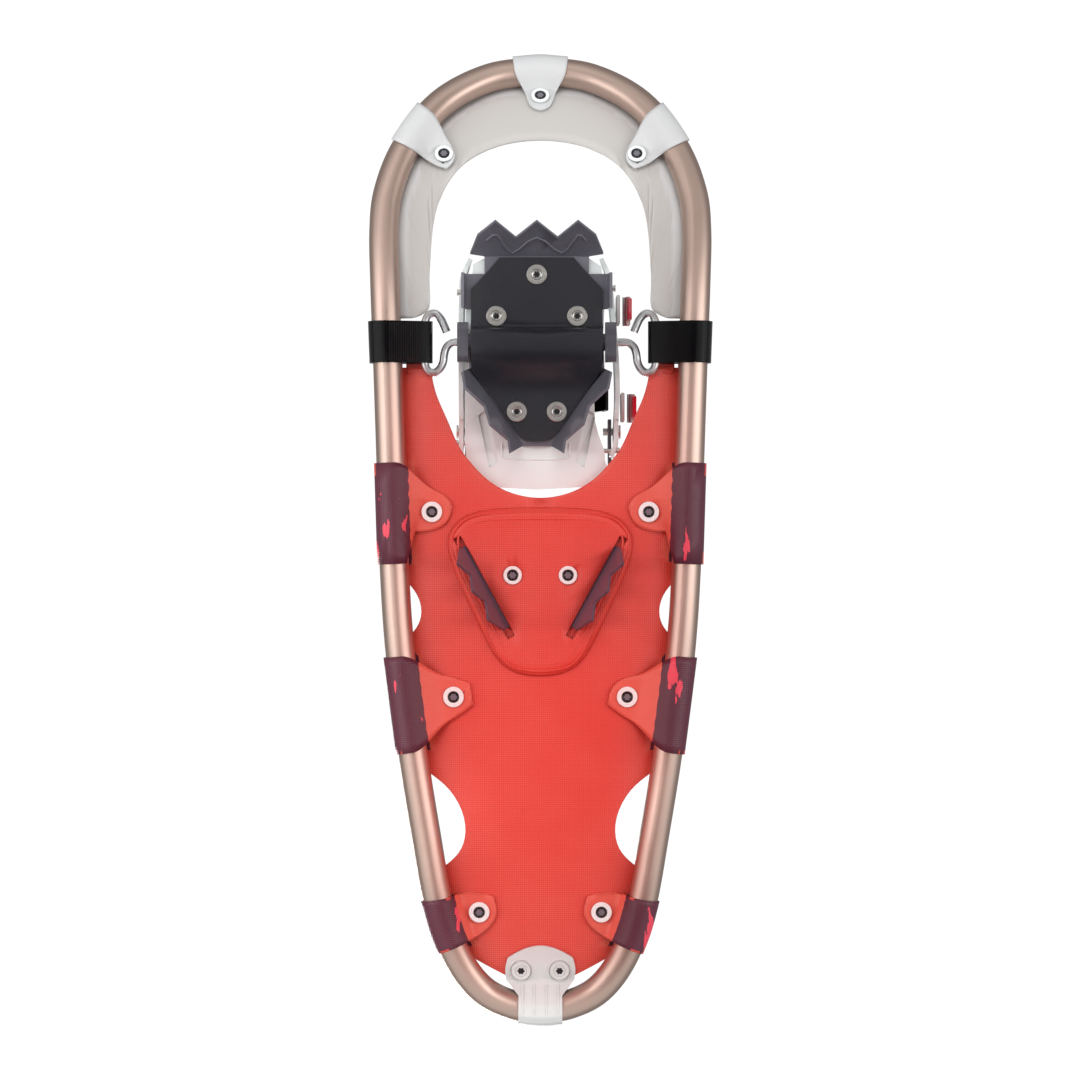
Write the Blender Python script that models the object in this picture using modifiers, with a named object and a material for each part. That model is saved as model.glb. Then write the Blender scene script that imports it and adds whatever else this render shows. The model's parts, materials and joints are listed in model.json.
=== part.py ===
"""A left aluminium-frame snowshoe with a pivoting binding, as separate solid pieces.

Metres, +Z up, toe towards +Y. The deck lies flat, and the crampon teeth stand on z = 0.
"""

import math

import bmesh
import bpy
from mathutils import Vector
from mathutils.bvhtree import BVHTree

MM = 0.001
GAP = 0.0003

# Driving dimensions, in metres.
TUBE_R = 19.05 * MM / 2          # 3/4 inch frame tube
TUBE_WALL = 1.2 * MM
TUBE_SIDES = 10
AXLE_Y = 126.9 * MM
AXLE_Z = 22.0 * MM               # tube and axle height above the crampon tips
ROD_R = 2.6 * MM                 # axle rod
SHEET = 1.2 * MM                 # deck fabric thickness
STEEL = 2.0 * MM                 # crampon plate thickness
NOSE_START, NOSE_RADIUS = 144 * MM, 270 * MM
TAIL_START, TAIL_RADIUS = -215 * MM, 350 * MM
DECK_Z = 3.5 * MM                # flat deck above the tube's mid plane
BORDER = 24 * MM                 # how far from the tube the deck starts to rise
BINDING_X = 2.3 * MM             # end play leaves the binding off centre
MIDDLE_Y, TOOTH_Z = 2.9 * MM, 0.2 * MM     # where the drawing datum is in the box
WRAP_EASE = 0.85 * MM
CROWN_R = TUBE_R + GAP + SHEET / 2 + WRAP_EASE

# The tube's centre line on the +X side, from nose to tail.
FRAME_SIDE = [(0, 311.5), (34, 306), (66, 287), (88, 256), (99, 226), (101.5, 200), (100.6, 164),
              (98.6, 110), (96.6, 50), (94.4, -20), (90.6, -75), (83, -135), (74.2, -190),
              (65.5, -238), (54, -271), (38, -293), (18, -303.5), (0, -305.5)]

PARTS = None
CUTTERS = None


def rise(y):
    """Height the frame and decks gain at the upturned nose and tail."""
    if y > NOSE_START:
        return NOSE_RADIUS - math.sqrt(NOSE_RADIUS ** 2 - (y - NOSE_START) ** 2)
    if y < TAIL_START:
        return TAIL_RADIUS - math.sqrt(TAIL_RADIUS ** 2 - (y - TAIL_START) ** 2)
    return 0.0


def slope(y):
    """Angle of the upturn at y, positive where the frame climbs towards +Y."""
    if y > NOSE_START:
        return math.asin((y - NOSE_START) / NOSE_RADIUS)
    if y < TAIL_START:
        return math.asin((y - TAIL_START) / TAIL_RADIUS)
    return 0.0


def smooth_path(points, steps, closed=False):
    """Catmull-Rom curve through the points, with a number of steps between each two."""
    vectors = [Vector(p) for p in points]
    count = len(vectors)
    spans = count if closed else count - 1
    path = []
    for i in range(spans):
        if closed:
            a, b, c, d = (vectors[(i + k) % count] for k in (-1, 0, 1, 2))
        else:
            b, c = vectors[i], vectors[i + 1]
            a = vectors[i - 1] if i > 0 else b * 2 - c
            d = vectors[i + 2] if i + 2 < count else c * 2 - b
        for k in range(steps):
            t = k / steps
            path.append(0.5 * ((2 * b) + (c - a) * t + (2 * a - 5 * b + 4 * c - d) * t * t
                               + (3 * b - a - 3 * c + d) * t ** 3))
    if not closed:
        path.append(vectors[-1])
    return path


def along(table, value):
    """Straight-line reading of a table of (key, result) pairs."""
    rows = sorted(table)
    if value <= rows[0][0]:
        return rows[0][1]
    for (k0, v0), (k1, v1) in zip(rows, rows[1:]):
        if value <= k1:
            return v0 + (v1 - v0) * (value - k0) / (k1 - k0)
    return rows[-1][1]


def side_curve():
    """Centre line of one side: fine steps round the two ends, long ones between them."""
    steps = 4
    points = smooth_path([(x * MM, y * MM, 0) for x, y in FRAME_SIDE], steps)
    return [p for i, p in enumerate(points)
            if i % steps == 0 or p.y > 245 * MM or (p.y < -240 * MM and i % 2 == 0)]


SIDE_CURVE = side_curve()


def frame_x(y):
    """Half width of the tube's centre line at y."""
    return along([(p.y, p.x) for p in SIDE_CURVE], y)


def material(name, colour, roughness, metallic=0.0):
    """A Principled material, made once for each finish."""
    found = bpy.data.materials.get(name)
    if found:
        return found
    new = bpy.data.materials.new(name)
    new.use_nodes = True
    shader = new.node_tree.nodes["Principled BSDF"]
    shader.inputs["Base Color"].default_value = (*colour, 1.0)
    shader.inputs["Roughness"].default_value = roughness
    shader.inputs["Metallic"].default_value = metallic
    new.diffuse_color = (*colour, 1.0)
    return new


FINISH = {
    "bronze": ((0.42, 0.32, 0.27), 0.35, 1.0),
    "zinc": ((0.75, 0.77, 0.79), 0.22, 1.0),
    "steel": ((0.07, 0.065, 0.08), 0.4, 1.0),
    "plum_steel": ((0.12, 0.07, 0.08), 0.4, 1.0),
    "coral": ((0.82, 0.10, 0.06), 0.45, 0.0),
    "light_sheet": ((0.56, 0.55, 0.53), 0.5, 0.0),
    "light_plastic": ((0.64, 0.65, 0.65), 0.45, 0.0),
    "urethane": ((0.006, 0.006, 0.007), 0.15, 0.0),
    "rubber": ((0.012, 0.012, 0.014), 0.6, 0.0),
    "smoke": ((0.06, 0.055, 0.06), 0.3, 0.0),
    "red": ((0.62, 0.02, 0.04), 0.3, 0.0),
    "white_washer": ((0.8, 0.79, 0.78), 0.35, 0.0),
    "nickel": ((0.72, 0.68, 0.62), 0.25, 1.0),
}


def finish(obj, finish_name):
    """Put the object in the parts collection with a material and smooth round faces."""
    for holder in list(obj.users_collection):
        holder.objects.unlink(obj)
    PARTS.objects.link(obj)
    obj.data.materials.clear()
    obj.data.materials.append(material(finish_name, *FINISH[finish_name]))
    if obj.type == "MESH":
        obj.data.shade_smooth()
        obj.data.set_sharp_from_angle(angle=math.radians(35))
    return obj


def mesh_object(name, bm, finish_name, origin=None):
    """Turn a bmesh into a named part, with its origin at a point if one is given."""
    bmesh.ops.recalc_face_normals(bm, faces=bm.faces)
    mesh = bpy.data.meshes.new(name)
    if origin is not None:
        bmesh.ops.translate(bm, verts=bm.verts, vec=-Vector(origin))
    bm.to_mesh(mesh)
    bm.free()
    obj = bpy.data.objects.new(name, mesh)
    if origin is not None:
        obj.location = origin
    PARTS.objects.link(obj)
    return finish(obj, finish_name)


def add_solidify(obj, thickness, offset=0.0):
    """Give an open sheet its thickness."""
    mod = obj.modifiers.new("thickness", "SOLIDIFY")
    mod.thickness = thickness
    mod.offset = offset
    mod.use_even_offset = True
    return obj


def add_bevel(obj, width, segments=2, angle=40):
    """Round the edges sharper than an angle in degrees."""
    mod = obj.modifiers.new("edge_round", "BEVEL")
    mod.width = width
    mod.segments = segments
    mod.limit_method = "ANGLE"
    mod.angle_limit = math.radians(angle)
    return obj


def add_mirror(obj):
    """Mirror a half that is open at x = 0."""
    mod = obj.modifiers.new("other_half", "MIRROR")
    mod.use_axis[0] = True
    mod.merge_threshold = 0.00005
    mod.use_clip = True
    return obj


def cylinder_cutter(name, centre, radius, depth, tilt=0.0, sides=10):
    """A closed cylinder, tilted about X, that only cuts."""
    bpy.ops.mesh.primitive_cylinder_add(vertices=sides, radius=radius, depth=depth,
                                        location=centre, rotation=(tilt, 0, 0))
    return as_cutter(bpy.context.object, name)


def as_cutter(obj, name):
    """Move an object to the cutters collection."""
    obj.name = name
    for holder in list(obj.users_collection):
        holder.objects.unlink(obj)
    CUTTERS.objects.link(obj)
    obj.hide_render = True
    obj.display_type = "WIRE"
    return obj


def cut(obj, cutter):
    """Subtract a cutter from a part."""
    mod = obj.modifiers.new("cut_" + cutter.name, "BOOLEAN")
    mod.operation = "DIFFERENCE"
    mod.solver = "EXACT"
    mod.object = cutter
    return obj


def turned(name, profile, finish_name, centre, tilt=0.0, steps=16, lean=0.0):
    """A turned piece: (radius, height) pairs from the axis, over the top, back to the axis."""
    mesh = bpy.data.meshes.new(name)
    points = [(r, 0, z) for r, z in profile]
    mesh.from_pydata(points, [(i, i + 1) for i in range(len(points) - 1)], [])
    obj = bpy.data.objects.new(name, mesh)
    obj.location = centre
    obj.rotation_euler = (tilt, lean, 0)
    PARTS.objects.link(obj)
    mod = obj.modifiers.new("turn", "SCREW")
    mod.steps = steps
    mod.render_steps = steps
    mod.use_merge_vertices = True
    mod.merge_threshold = 0.00002
    return finish(obj, finish_name)


def loft(name, rings, finish_name, origin=None, closed=False):
    """Join rings of equal point count into one closed body."""
    bm = bmesh.new()
    rows = [[bm.verts.new(p) for p in ring] for ring in rings]
    count = len(rows[0])
    pairs = list(zip(rows, rows[1:]))
    if closed:
        pairs.append((rows[-1], rows[0]))
    for low, high in pairs:
        for i in range(count):
            j = (i + 1) % count
            bm.faces.new((low[i], low[j], high[j], high[i]))
    if not closed:
        bm.faces.new(rows[0][::-1])
        bm.faces.new(rows[-1])
    return mesh_object(name, bm, finish_name, origin)


def ribbon(name, path, across, width, thickness, finish_name, origin=None, closed=False):
    """A flat strip along a path; across, width and thickness may be lists, one per point."""
    count = len(path)
    rings = []
    for i, point in enumerate(path):
        if closed:
            before, after = path[i - 1], path[(i + 1) % count]
        else:
            before, after = path[max(i - 1, 0)], path[min(i + 1, count - 1)]
        tangent = (Vector(after) - Vector(before)).normalized()
        side = Vector(across[i] if isinstance(across, list) else across)
        side = (side - tangent * side.dot(tangent)).normalized()
        normal = tangent.cross(side)
        half_w = (width[i] if isinstance(width, list) else width) / 2
        half_t = (thickness[i] if isinstance(thickness, list) else thickness) / 2
        centre = Vector(point)
        rings.append([centre + side * half_w + normal * half_t,
                      centre - side * half_w + normal * half_t,
                      centre - side * half_w - normal * half_t,
                      centre + side * half_w - normal * half_t])
    return loft(name, rings, finish_name, origin, closed)


# Frame tube, open at the tail joint, with a sleeve inside it.

def frame_loop():
    """Centre line of the whole tube, from one side of the tail joint to the other."""
    right = [Vector((p.x, p.y, AXLE_Z + rise(p.y))) for p in SIDE_CURVE]
    left = [Vector((-p.x, p.y, p.z)) for p in right[1:]]
    joint_gap = 1.0 * MM
    right[-1].x = joint_gap
    left[-1].x = -joint_gap
    return right[::-1] + left


def tube_rings(path, radius, sides):
    """Rings of points around a path that stay square to it."""
    rings = []
    for i, point in enumerate(path):
        tangent = (path[min(i + 1, len(path) - 1)] - path[max(i - 1, 0)]).normalized()
        side = tangent.cross(Vector((0, 0, 1))).normalized()
        up = side.cross(tangent)
        rings.append([point + radius * (side * math.cos(a) + up * math.sin(a))
                      for a in (2 * math.pi * k / sides for k in range(sides))])
    return rings


def open_tube(name, path, radius, wall, sides, finish_name):
    """A hollow tube, open at both ends."""
    bm = bmesh.new()
    rows = [[bm.verts.new(p) for p in ring] for ring in tube_rings(path, radius, sides)]
    for low, high in zip(rows, rows[1:]):
        for i in range(sides):
            j = (i + 1) % sides
            bm.faces.new((low[i], low[j], high[j], high[i]))
    obj = mesh_object(name, bm, finish_name)
    return add_solidify(obj, wall, -1.0)


def make_frame():
    loop = frame_loop()
    open_tube("frame_tube", loop, TUBE_R, TUBE_WALL, TUBE_SIDES, "bronze")
    sleeve_reach = 3
    sleeve_path = list(reversed(loop[:sleeve_reach])) + loop[-1:-1 - sleeve_reach:-1]
    sleeve_r = TUBE_R * math.cos(math.pi / TUBE_SIDES) - TUBE_WALL - 2 * GAP
    open_tube("frame_splice_sleeve", sleeve_path, sleeve_r, TUBE_WALL, 12, "bronze")


# Decks.

def lift(tangent_y, y):
    """How much a vertical slice of the tube is stretched where the tube climbs."""
    climb = math.tan(slope(y)) * tangent_y
    return math.sqrt(1 + climb * climb)


def nearest(x, y):
    """Nearest centre line point, distance to it, and the tube's direction there."""
    point = Vector((abs(x), y, 0))
    best = None
    for a, b in zip(SIDE_CURVE, SIDE_CURVE[1:]):
        edge = b - a
        t = max(0.0, min(1.0, (point - a).dot(edge) / edge.length_squared))
        spot = a + edge * t
        distance = (point - spot).length
        if best is None or distance < best[1]:
            best = (spot, distance, edge.normalized())
    return best


def deck_profile(u):
    """Deck above the tube's mid plane, by distance in from the tube's middle."""
    leave = CROWN_R * math.sin(math.pi / 4)
    if u < leave:
        return math.sqrt(max(CROWN_R ** 2 - u ** 2, 0.0))
    t = min(1.0, (u - leave) / (BORDER - leave))
    return DECK_Z + (leave - DECK_Z) * (1 - t)


def deck_height(x, y):
    """Deck mid surface: flat inside, rising over the top of the tube at its border."""
    spot, d, direction = nearest(x, y)
    stretch = lift(direction.y, spot.y)
    across = math.atan(math.tan(slope(spot.y)) * direction.x)
    u = d
    for _ in range(6):
        u = (d - deck_profile(u) * stretch * math.sin(across)) / math.cos(across)
    h = deck_profile(u) * stretch
    at_tube = rise(spot.y) - u * math.sin(across) + h * math.cos(across)
    inside = rise(y) + deck_profile(d) / math.cos(slope(y))
    t = max(0.0, min(1.0, (d - BORDER / 2) / (BORDER / 2)))
    blend = t * t * (3 - 2 * t)
    return AXLE_Z + at_tube * (1 - blend) + inside * blend


def grid_faces(bm, rows):
    """Quads between rows of the same length; a vertex shared by both rows gives a triangle."""
    for low, high in zip(rows, rows[1:]):
        for i in range(len(low) - 1):
            corners = []
            for vert in (low[i], low[i + 1], high[i + 1], high[i]):
                if vert not in corners:
                    corners.append(vert)
            if len(corners) > 2:
                bm.faces.new(corners)


TAB_UNDER = SHEET + 5 * GAP      # tab mid surface below the deck's
TAB_LAND = 8.0 * MM              # flat part of the tab on the tube side of its rivet
TOE_LAND = 5.5 * MM              # the same on the centre toe tab, which is short
WRAP_STEPS = 6


def tab_height(x, y):
    """Middle of a tab where it lies flat under the deck."""
    return deck_height(x, y) - TAB_UNDER / math.cos(slope(y))


def wrap_rows(bm, centres, normals, land, middle):
    """Rows round the outside of the tube, down to where the tab leaves it for its land."""
    inward = (land - middle).length
    below = tab_height(land.x, land.y) - AXLE_Z - rise(middle.y)
    tangent = math.acos(min(0.98, CROWN_R / math.hypot(inward, below)))
    sweep = 1.5 * math.pi + math.atan2(below, inward) - tangent
    rows = []
    for k in range(1, WRAP_STEPS + 1):
        a = math.pi / 2 - sweep * k / WRAP_STEPS
        row = []
        for c, n in zip(centres, normals):
            spot = c + n * (CROWN_R * math.cos(a))
            spot.z = AXLE_Z + rise(c.y) + CROWN_R * math.sin(a) * lift(n.x, c.y)
            row.append(bm.verts.new(spot))
        rows.append(row)
    return rows


def add_tab(bm, crown, centres, normals, end, end_radius):
    """A lashing tab: from the deck's crown round the outside of the tube to a round end below."""
    middle = sum(centres, Vector()) / len(centres)
    end_point = Vector((end[0], end[1], 0))
    inward = (end_point - middle).normalized()
    sideways = Vector((-inward.y, inward.x, 0))
    if (centres[0] - middle).dot(sideways) < 0:
        sideways = -sideways
    land = end_point - inward * TAB_LAND
    rows = [crown] + wrap_rows(bm, centres, normals, land, middle)
    span = (centres[-1] - centres[0]).length
    land_row, end_row = [], []
    for c in centres:
        turn = math.pi / 2 - math.pi * (c - centres[0]).length / span
        across = sideways * math.sin(turn)
        for row, flat in ((land_row, land + across * end_radius * 1.12),
                          (end_row, end_point + (inward * math.cos(turn) + across) * end_radius)):
            flat.z = tab_height(flat.x, flat.y)
            row.append(bm.verts.new(flat))
    grid_faces(bm, rows + [land_row, end_row])


def side_normal(y):
    """Outward direction of the +X side of the frame at y."""
    reach = 4 * MM
    along_side = Vector((frame_x(y + reach) - frame_x(y - reach), 2 * reach, 0)).normalized()
    return Vector((along_side.y, -along_side.x, 0))


# Tabs of the main deck: (top y on the tube, bottom y on the tube, rivet x, rivet y).
DECK_TABS = [(49, -16.5, 70.2, 17.2), (-76, -138, 56.2, -102.6), (-233, -265, 39.6, -241.5)]
TAB_END = 13.6 * MM
# Where the deck stops short of the tube's centre line: (y, distance).
DECK_CUTOUTS = [(111, 0), (-18, 0), (-27, 6), (-34, 13), (-45, 16.5),
                (-56, 14), (-64, 6), (-68, 0), (-146, 0), (-149, 4), (-152, 8), (-162, 21), (-181, 28),
                (-199, 24), (-209, 14), (-214, 6), (-219, 0), (-265, 0), (-270, 5), (-276, 13),
                (-288, 28)]
DECK_OPENING = [(25.5, 0), (28, 15.5), (33, 27.5), (40, 37), (49, 45), (57, 51.5), (66, 56),
                (78, 60.5), (91, 67), (103, 70), (111, 71)]
DECK_ROWS = [111, 103, 91, 78, 66, 57, 49, 40, 33, 28, 25.5, 6, -16.5, -20, -23.5, -27,
             -34, -45, -56, -64, -68, -76, -96, -117, -138, -146, -149, -152, -162, -181, -199, -209,
             -214, -219, -233, -244, -255, -265, -270, -276, -282, -287]


def make_main_deck():
    bm = bmesh.new()
    fractions = [0.0, 0.16, 0.31, 1.0]
    rows = {}
    for y_mm in DECK_ROWS:
        y = y_mm * MM
        inner = along([(k * MM, v * MM) for k, v in DECK_OPENING], y)
        outer = frame_x(y) - along([(k * MM, v * MM) for k, v in DECK_CUTOUTS], y)
        fold = max(inner + 0.3 * (outer - inner), min(outer - 8 * MM, frame_x(y) - BORDER))
        xs = [outer + (fold - outer) * f for f in fractions]
        xs += [fold + (inner - fold) * f for f in (0.5, 1.0)]
        rows[y_mm] = [bm.verts.new((x, y, deck_height(x, y))) for x in xs]
    grid_faces(bm, [rows[y] for y in DECK_ROWS])
    for top, bottom, end_x, end_y in DECK_TABS:
        group = [y for y in DECK_ROWS if bottom <= y <= top]
        crown = [rows[y][0] for y in group]
        centres = [Vector((frame_x(y * MM), y * MM, 0)) for y in group]
        normals = [side_normal(y * MM) for y in group]
        add_tab(bm, crown, centres, normals, (end_x * MM, end_y * MM), TAB_END)
    deck = mesh_object("main_deck", bm, "coral")
    add_mirror(deck)
    add_solidify(deck, SHEET)
    return deck


# Toe deck: loft from the crown of the nose bend to its inner edge, half, mirrored.
TOE_EDGE = [(0, 262), (20, 260), (37, 254), (51, 245), (61, 232), (67, 217), (70, 200),
            (71, 183), (72, 166), (71, 154), (73, 147), (82, 142.8)]
TOE_CORNER = (63.1, 250)         # rivet of the corner tab
TOE_CENTRE = (0, 291.0)          # rivet of the centre tab
TOE_COLUMNS = (0, 3.8, 7.6, 13, 18.5, 24)    # distances in from the tube's middle


def toe_rows():
    """Matching points on the tube's centre line and on the sheet's inner edge."""
    nose = [p for p in SIDE_CURVE if p.y > 150 * MM]
    nose.append(Vector((frame_x(142.8 * MM), 142.8 * MM, 0)))
    edge = smooth_path([(x * MM, y * MM, 0) for x, y in TOE_EDGE], 3)
    total = len(nose) - 1
    pairs = []
    for i, outer in enumerate(nose):
        spot = i / total * (len(edge) - 1)
        low = min(int(spot), len(edge) - 2)
        pairs.append((outer, edge[low].lerp(edge[low + 1], spot - low)))
    return pairs


def make_toe_deck():
    bm = bmesh.new()
    pairs = toe_rows()
    rows = []
    for outer, inner in pairs:
        row = []
        width = (outer - inner).length
        for k, d in enumerate(TOE_COLUMNS):
            flat = outer.lerp(inner, d * MM / width if width > 30 * MM else k / 6)
            row.append(bm.verts.new((flat.x, flat.y, deck_height(flat.x, flat.y))))
        row.append(bm.verts.new((inner.x, inner.y, deck_height(inner.x, inner.y))))
        rows.append(row)
    grid_faces(bm, rows)
    normals = []
    for i in range(len(pairs)):
        before = pairs[max(i - 1, 0)][0]
        after = pairs[min(i + 1, len(pairs) - 1)][0]
        tangent = (after - before).normalized()
        if i == 0:
            tangent = Vector((1, 0, 0))
        normals.append(Vector((-tangent.y, tangent.x, 0)))
    for i in range(len(normals)):
        if normals[i].dot(pairs[i][0] - pairs[i][1]) < 0:
            normals[i] = -normals[i]
    corner = [i for i, (p, _) in enumerate(pairs) if 250 * MM < p.y < 282 * MM]
    add_tab(bm, [rows[i][0] for i in corner], [pairs[i][0] for i in corner],
            [normals[i] for i in corner], (TOE_CORNER[0] * MM, TOE_CORNER[1] * MM), 8.6 * MM)
    centre = [i for i, (p, _) in enumerate(pairs) if p.x < 18 * MM]
    add_half_tab(bm, [rows[i][0] for i in centre], [pairs[i][0] for i in centre],
                 [normals[i] for i in centre], TOE_CENTRE[1] * MM, 9.0 * MM)
    deck = mesh_object("toe_deck", bm, "light_sheet")
    add_mirror(deck)
    add_solidify(deck, SHEET)
    return deck


def add_half_tab(bm, crown, centres, normals, end_y, end_radius):
    """The +X half of the centre tab, which the mirror completes."""
    land = Vector((0, end_y + TOE_LAND, 0))
    rows = [crown] + wrap_rows(bm, centres, normals, land, centres[0])
    land_row, end_row = [], []
    for i in range(len(centres)):
        turn = math.pi / 2 * i / (len(centres) - 1)
        side = end_radius * math.sin(turn)
        for row, x, y in ((land_row, side * 1.12, land.y),
                          (end_row, side, end_y - end_radius * math.cos(turn))):
            row.append(bm.verts.new((x, y, tab_height(x, y))))
    grid_faces(bm, rows + [land_row, end_row])


# Fasteners.

SHAFT_R = 3.0 * MM
HOLE_R = 3.5 * MM
HEAD = 1.2 * MM                  # rivet head thickness
SEAT_EASE = 0.25 * MM            # extra room under a rivet head
RIVET_SIDES = 10


def rivet(name, finish_name, centre, above, below, head_r, tilt=0.0, lean=0.0, shaft_r=SHAFT_R):
    """A tubular rivet: flat head above, washer head with a socket below."""
    cap_r = head_r * 0.82
    socket_r = head_r * 0.5
    profile = [(0, above + HEAD), (cap_r, above + HEAD), (cap_r, above), (shaft_r, above),
               (shaft_r, below), (head_r, below), (head_r - 0.4 * MM, below - HEAD),
               (socket_r, below - HEAD), (socket_r * 0.8, below - HEAD * 0.3),
               (0, below - HEAD * 0.3)]
    return turned(name, profile, finish_name, centre, tilt, RIVET_SIDES, lean)


def seat(sheet, centre, radius, tilt):
    """How far a folded sheet reaches above and below a tilted plane, within a radius."""
    tree = BVHTree.FromObject(sheet, bpy.context.evaluated_depsgraph_get())
    axis = Vector((0, -math.sin(tilt), math.cos(tilt)))
    level = Vector((0, math.cos(tilt), math.sin(tilt)))
    heights = []
    for k in range(16):
        a = 2 * math.pi * k / 16
        for reach in (radius, radius * 0.6):
            foot = Vector(centre) + level * reach * math.sin(a)
            foot.x += reach * math.cos(a)
            for probe in (axis * 15 * MM, axis * -15 * MM):
                hit = tree.ray_cast(foot + probe, -probe, 30 * MM)[0]
                if hit is not None:
                    heights.append((hit - foot).dot(axis))
    return max(heights) + GAP + SEAT_EASE, min(heights) - GAP - SEAT_EASE


def deck_rivets(deck, toe):
    """Tab rivets and the holes they pass through."""
    spots = [("deck_rivet_%s_%s" % (side, row), sign * x, y, deck, 6.75)
             for row, (_, _, x, y) in zip(("front", "middle", "rear"), DECK_TABS)
             for side, sign in (("left", -1), ("right", 1))]
    spots += [("toe_rivet_left", -TOE_CORNER[0], TOE_CORNER[1], toe, 6.05),
              ("toe_rivet_right", TOE_CORNER[0], TOE_CORNER[1], toe, 6.05),
              ("toe_rivet_centre", 0, TOE_CENTRE[1], toe, 6.05)]
    for name, x, y, sheet, head in spots:
        x, y, head = x * MM, y * MM, head * MM
        centre = (x, y, deck_height(x, y))
        above, below = seat(sheet, centre, head, slope(y))
        rivet(name, "white_washer", centre, above, below, head, slope(y))
        cut(sheet, cylinder_cutter("hole_" + name, centre, HOLE_R, 24 * MM, slope(y)))


# Heel: pad, crampon and patch, held by two rivets.

HEEL_RIVET = (17.9, -23.8)
HEEL_PLATE_Z = AXLE_Z + DECK_Z - SHEET / 2 - GAP - STEEL / 2
PATCH_Z = HEEL_PLATE_Z - STEEL / 2 - GAP - SHEET / 2
PAD_THICK = 5 * MM
HEEL_BEND = ((49.75, -5.2), (21.0, -57.8))
HEEL_TEETH = [(0.0, 7), (0.14, 24.6), (0.31, 14), (0.47, 24.6), (0.64, 13), (0.82, 24.6),
              (1.0, 8)]
HEEL_SPLAY = math.radians(20)
# Outline of the moulded patch, +X side, from the top middle round to the bottom middle.
PATCH_OUTLINE = [(0, 20), (30, 19.5), (48, 16), (58, 7), (60.7, -3), (57, -18), (47, -40),
                 (36, -63), (29, -77), (20, -85.5), (9, -88.5), (0, -89)]


def flange(bm, start, end, edge_verts, teeth, out, z, splay):
    """A toothed flange folded down from the edge between two vertices."""
    a, b = Vector((*start, 0)) * MM, Vector((*end, 0)) * MM
    down = Vector((out[0], out[1], 0)).normalized() * math.sin(splay)
    down.z = -math.cos(splay)
    verts = []
    for t, depth in teeth:
        point = a.lerp(b, t) + down * depth * MM
        verts.append(bm.verts.new((point.x, point.y, z + point.z)))
    bm.faces.new([edge_verts[0]] + verts + [edge_verts[1]])


def make_heel():
    bm = bmesh.new()
    (x0, y0), (x1, y1) = HEEL_BEND
    corners = [(0, y0), (x0, y0), (x1, y1), (0, y1)]
    plate = [bm.verts.new((x * MM, y * MM, HEEL_PLATE_Z)) for x, y in corners]
    bm.faces.new(plate)
    out = (y0 - y1, -(x0 - x1))
    flange(bm, *HEEL_BEND, (plate[1], plate[2]), HEEL_TEETH, out, HEEL_PLATE_Z, HEEL_SPLAY)
    crampon = mesh_object("heel_crampon", bm, "plum_steel")
    add_mirror(crampon)
    add_solidify(crampon, STEEL - 0.1 * MM)

    bm = bmesh.new()
    centre_y = -30 * MM
    rows = []
    for scale, z in ((0.0, PATCH_Z), (0.55, PATCH_Z), (0.86, PATCH_Z), (0.92, PATCH_Z - 0.9 * MM),
                     (0.96, PATCH_Z + 0.6 * MM), (1.0, AXLE_Z + DECK_Z - SHEET - GAP)):
        row = []
        for x, y in PATCH_OUTLINE:
            spot = (x * MM * scale, centre_y + (y * MM - centre_y) * scale, z)
            if scale == 0.0 and row:
                row.append(row[0])
            else:
                row.append(bm.verts.new(spot))
        rows.append(row)
    grid_faces(bm, rows)
    patch = mesh_object("heel_patch", bm, "coral")
    add_mirror(patch)
    add_solidify(patch, SHEET)
    for side in (-1, 1):
        start = Vector((53.3 * side, 1.3)) * MM
        end = Vector((17.8 * side, -63.6)) * MM
        length = (end - start).length
        middle = (start + end) / 2
        shift = Vector((0.88 * side, -0.48)) * 0.9 * MM
        bpy.ops.mesh.primitive_cube_add(size=1, location=(middle.x + shift.x, middle.y + shift.y,
                                                          PATCH_Z))
        slit = as_cutter(bpy.context.object, "slit_%d" % side)
        slit.scale = (5.4 * MM, length, 12 * MM)
        slit.rotation_euler = (0, 0, math.atan2(end.y - start.y, end.x - start.x) - math.pi / 2)
        cut(patch, slit)

    pad_bottom = AXLE_Z + DECK_Z + SHEET / 2 + GAP
    bpy.ops.mesh.primitive_cube_add(size=1, location=(0, -32 * MM, pad_bottom + PAD_THICK / 2))
    pad = bpy.context.object
    pad.name = "heel_pad"
    for vert in pad.data.vertices:
        vert.co = Vector((vert.co.x * 68 * MM, vert.co.y * 88 * MM, vert.co.z * PAD_THICK))
    finish(pad, "light_plastic")
    corners = pad.modifiers.new("corner_round", "BEVEL")
    corners.width = 12 * MM
    corners.segments = 4
    corners.limit_method = "ANGLE"
    corners.affect = "EDGES"
    for edge in pad.data.edges:
        ends = [pad.data.vertices[i].co for i in edge.vertices]
        upright = abs(ends[0].z - ends[1].z) > PAD_THICK / 2
        attribute = pad.data.attributes.get("bevel_weight_edge")
        if attribute is None:
            attribute = pad.data.attributes.new("bevel_weight_edge", "FLOAT", "EDGE")
        attribute.data[edge.index].value = 1.0 if upright else 0.0
    corners.limit_method = "WEIGHT"

    for side, sign in (("left", -1), ("right", 1)):
        x, y = HEEL_RIVET[0] * MM * sign, HEEL_RIVET[1] * MM
        centre = (x, y, AXLE_Z + DECK_Z)
        above = SHEET / 2 + GAP + PAD_THICK - 2.2 * MM
        below = PATCH_Z - SHEET / 2 - GAP - centre[2]
        rivet("heel_rivet_" + side, "white_washer", centre, above, below, 6.05 * MM)
        hole = cylinder_cutter("hole_heel_" + side, centre, HOLE_R, 30 * MM)
        for obj in (crampon, patch, pad, bpy.data.objects["main_deck"]):
            cut(obj, hole)
        sink = cylinder_cutter("sink_heel_" + side, (x, y, pad_bottom + PAD_THICK), 6.3 * MM,
                               5.0 * MM)
        cut(pad, sink)


# Tail clip, folded round the tube joint.

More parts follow.
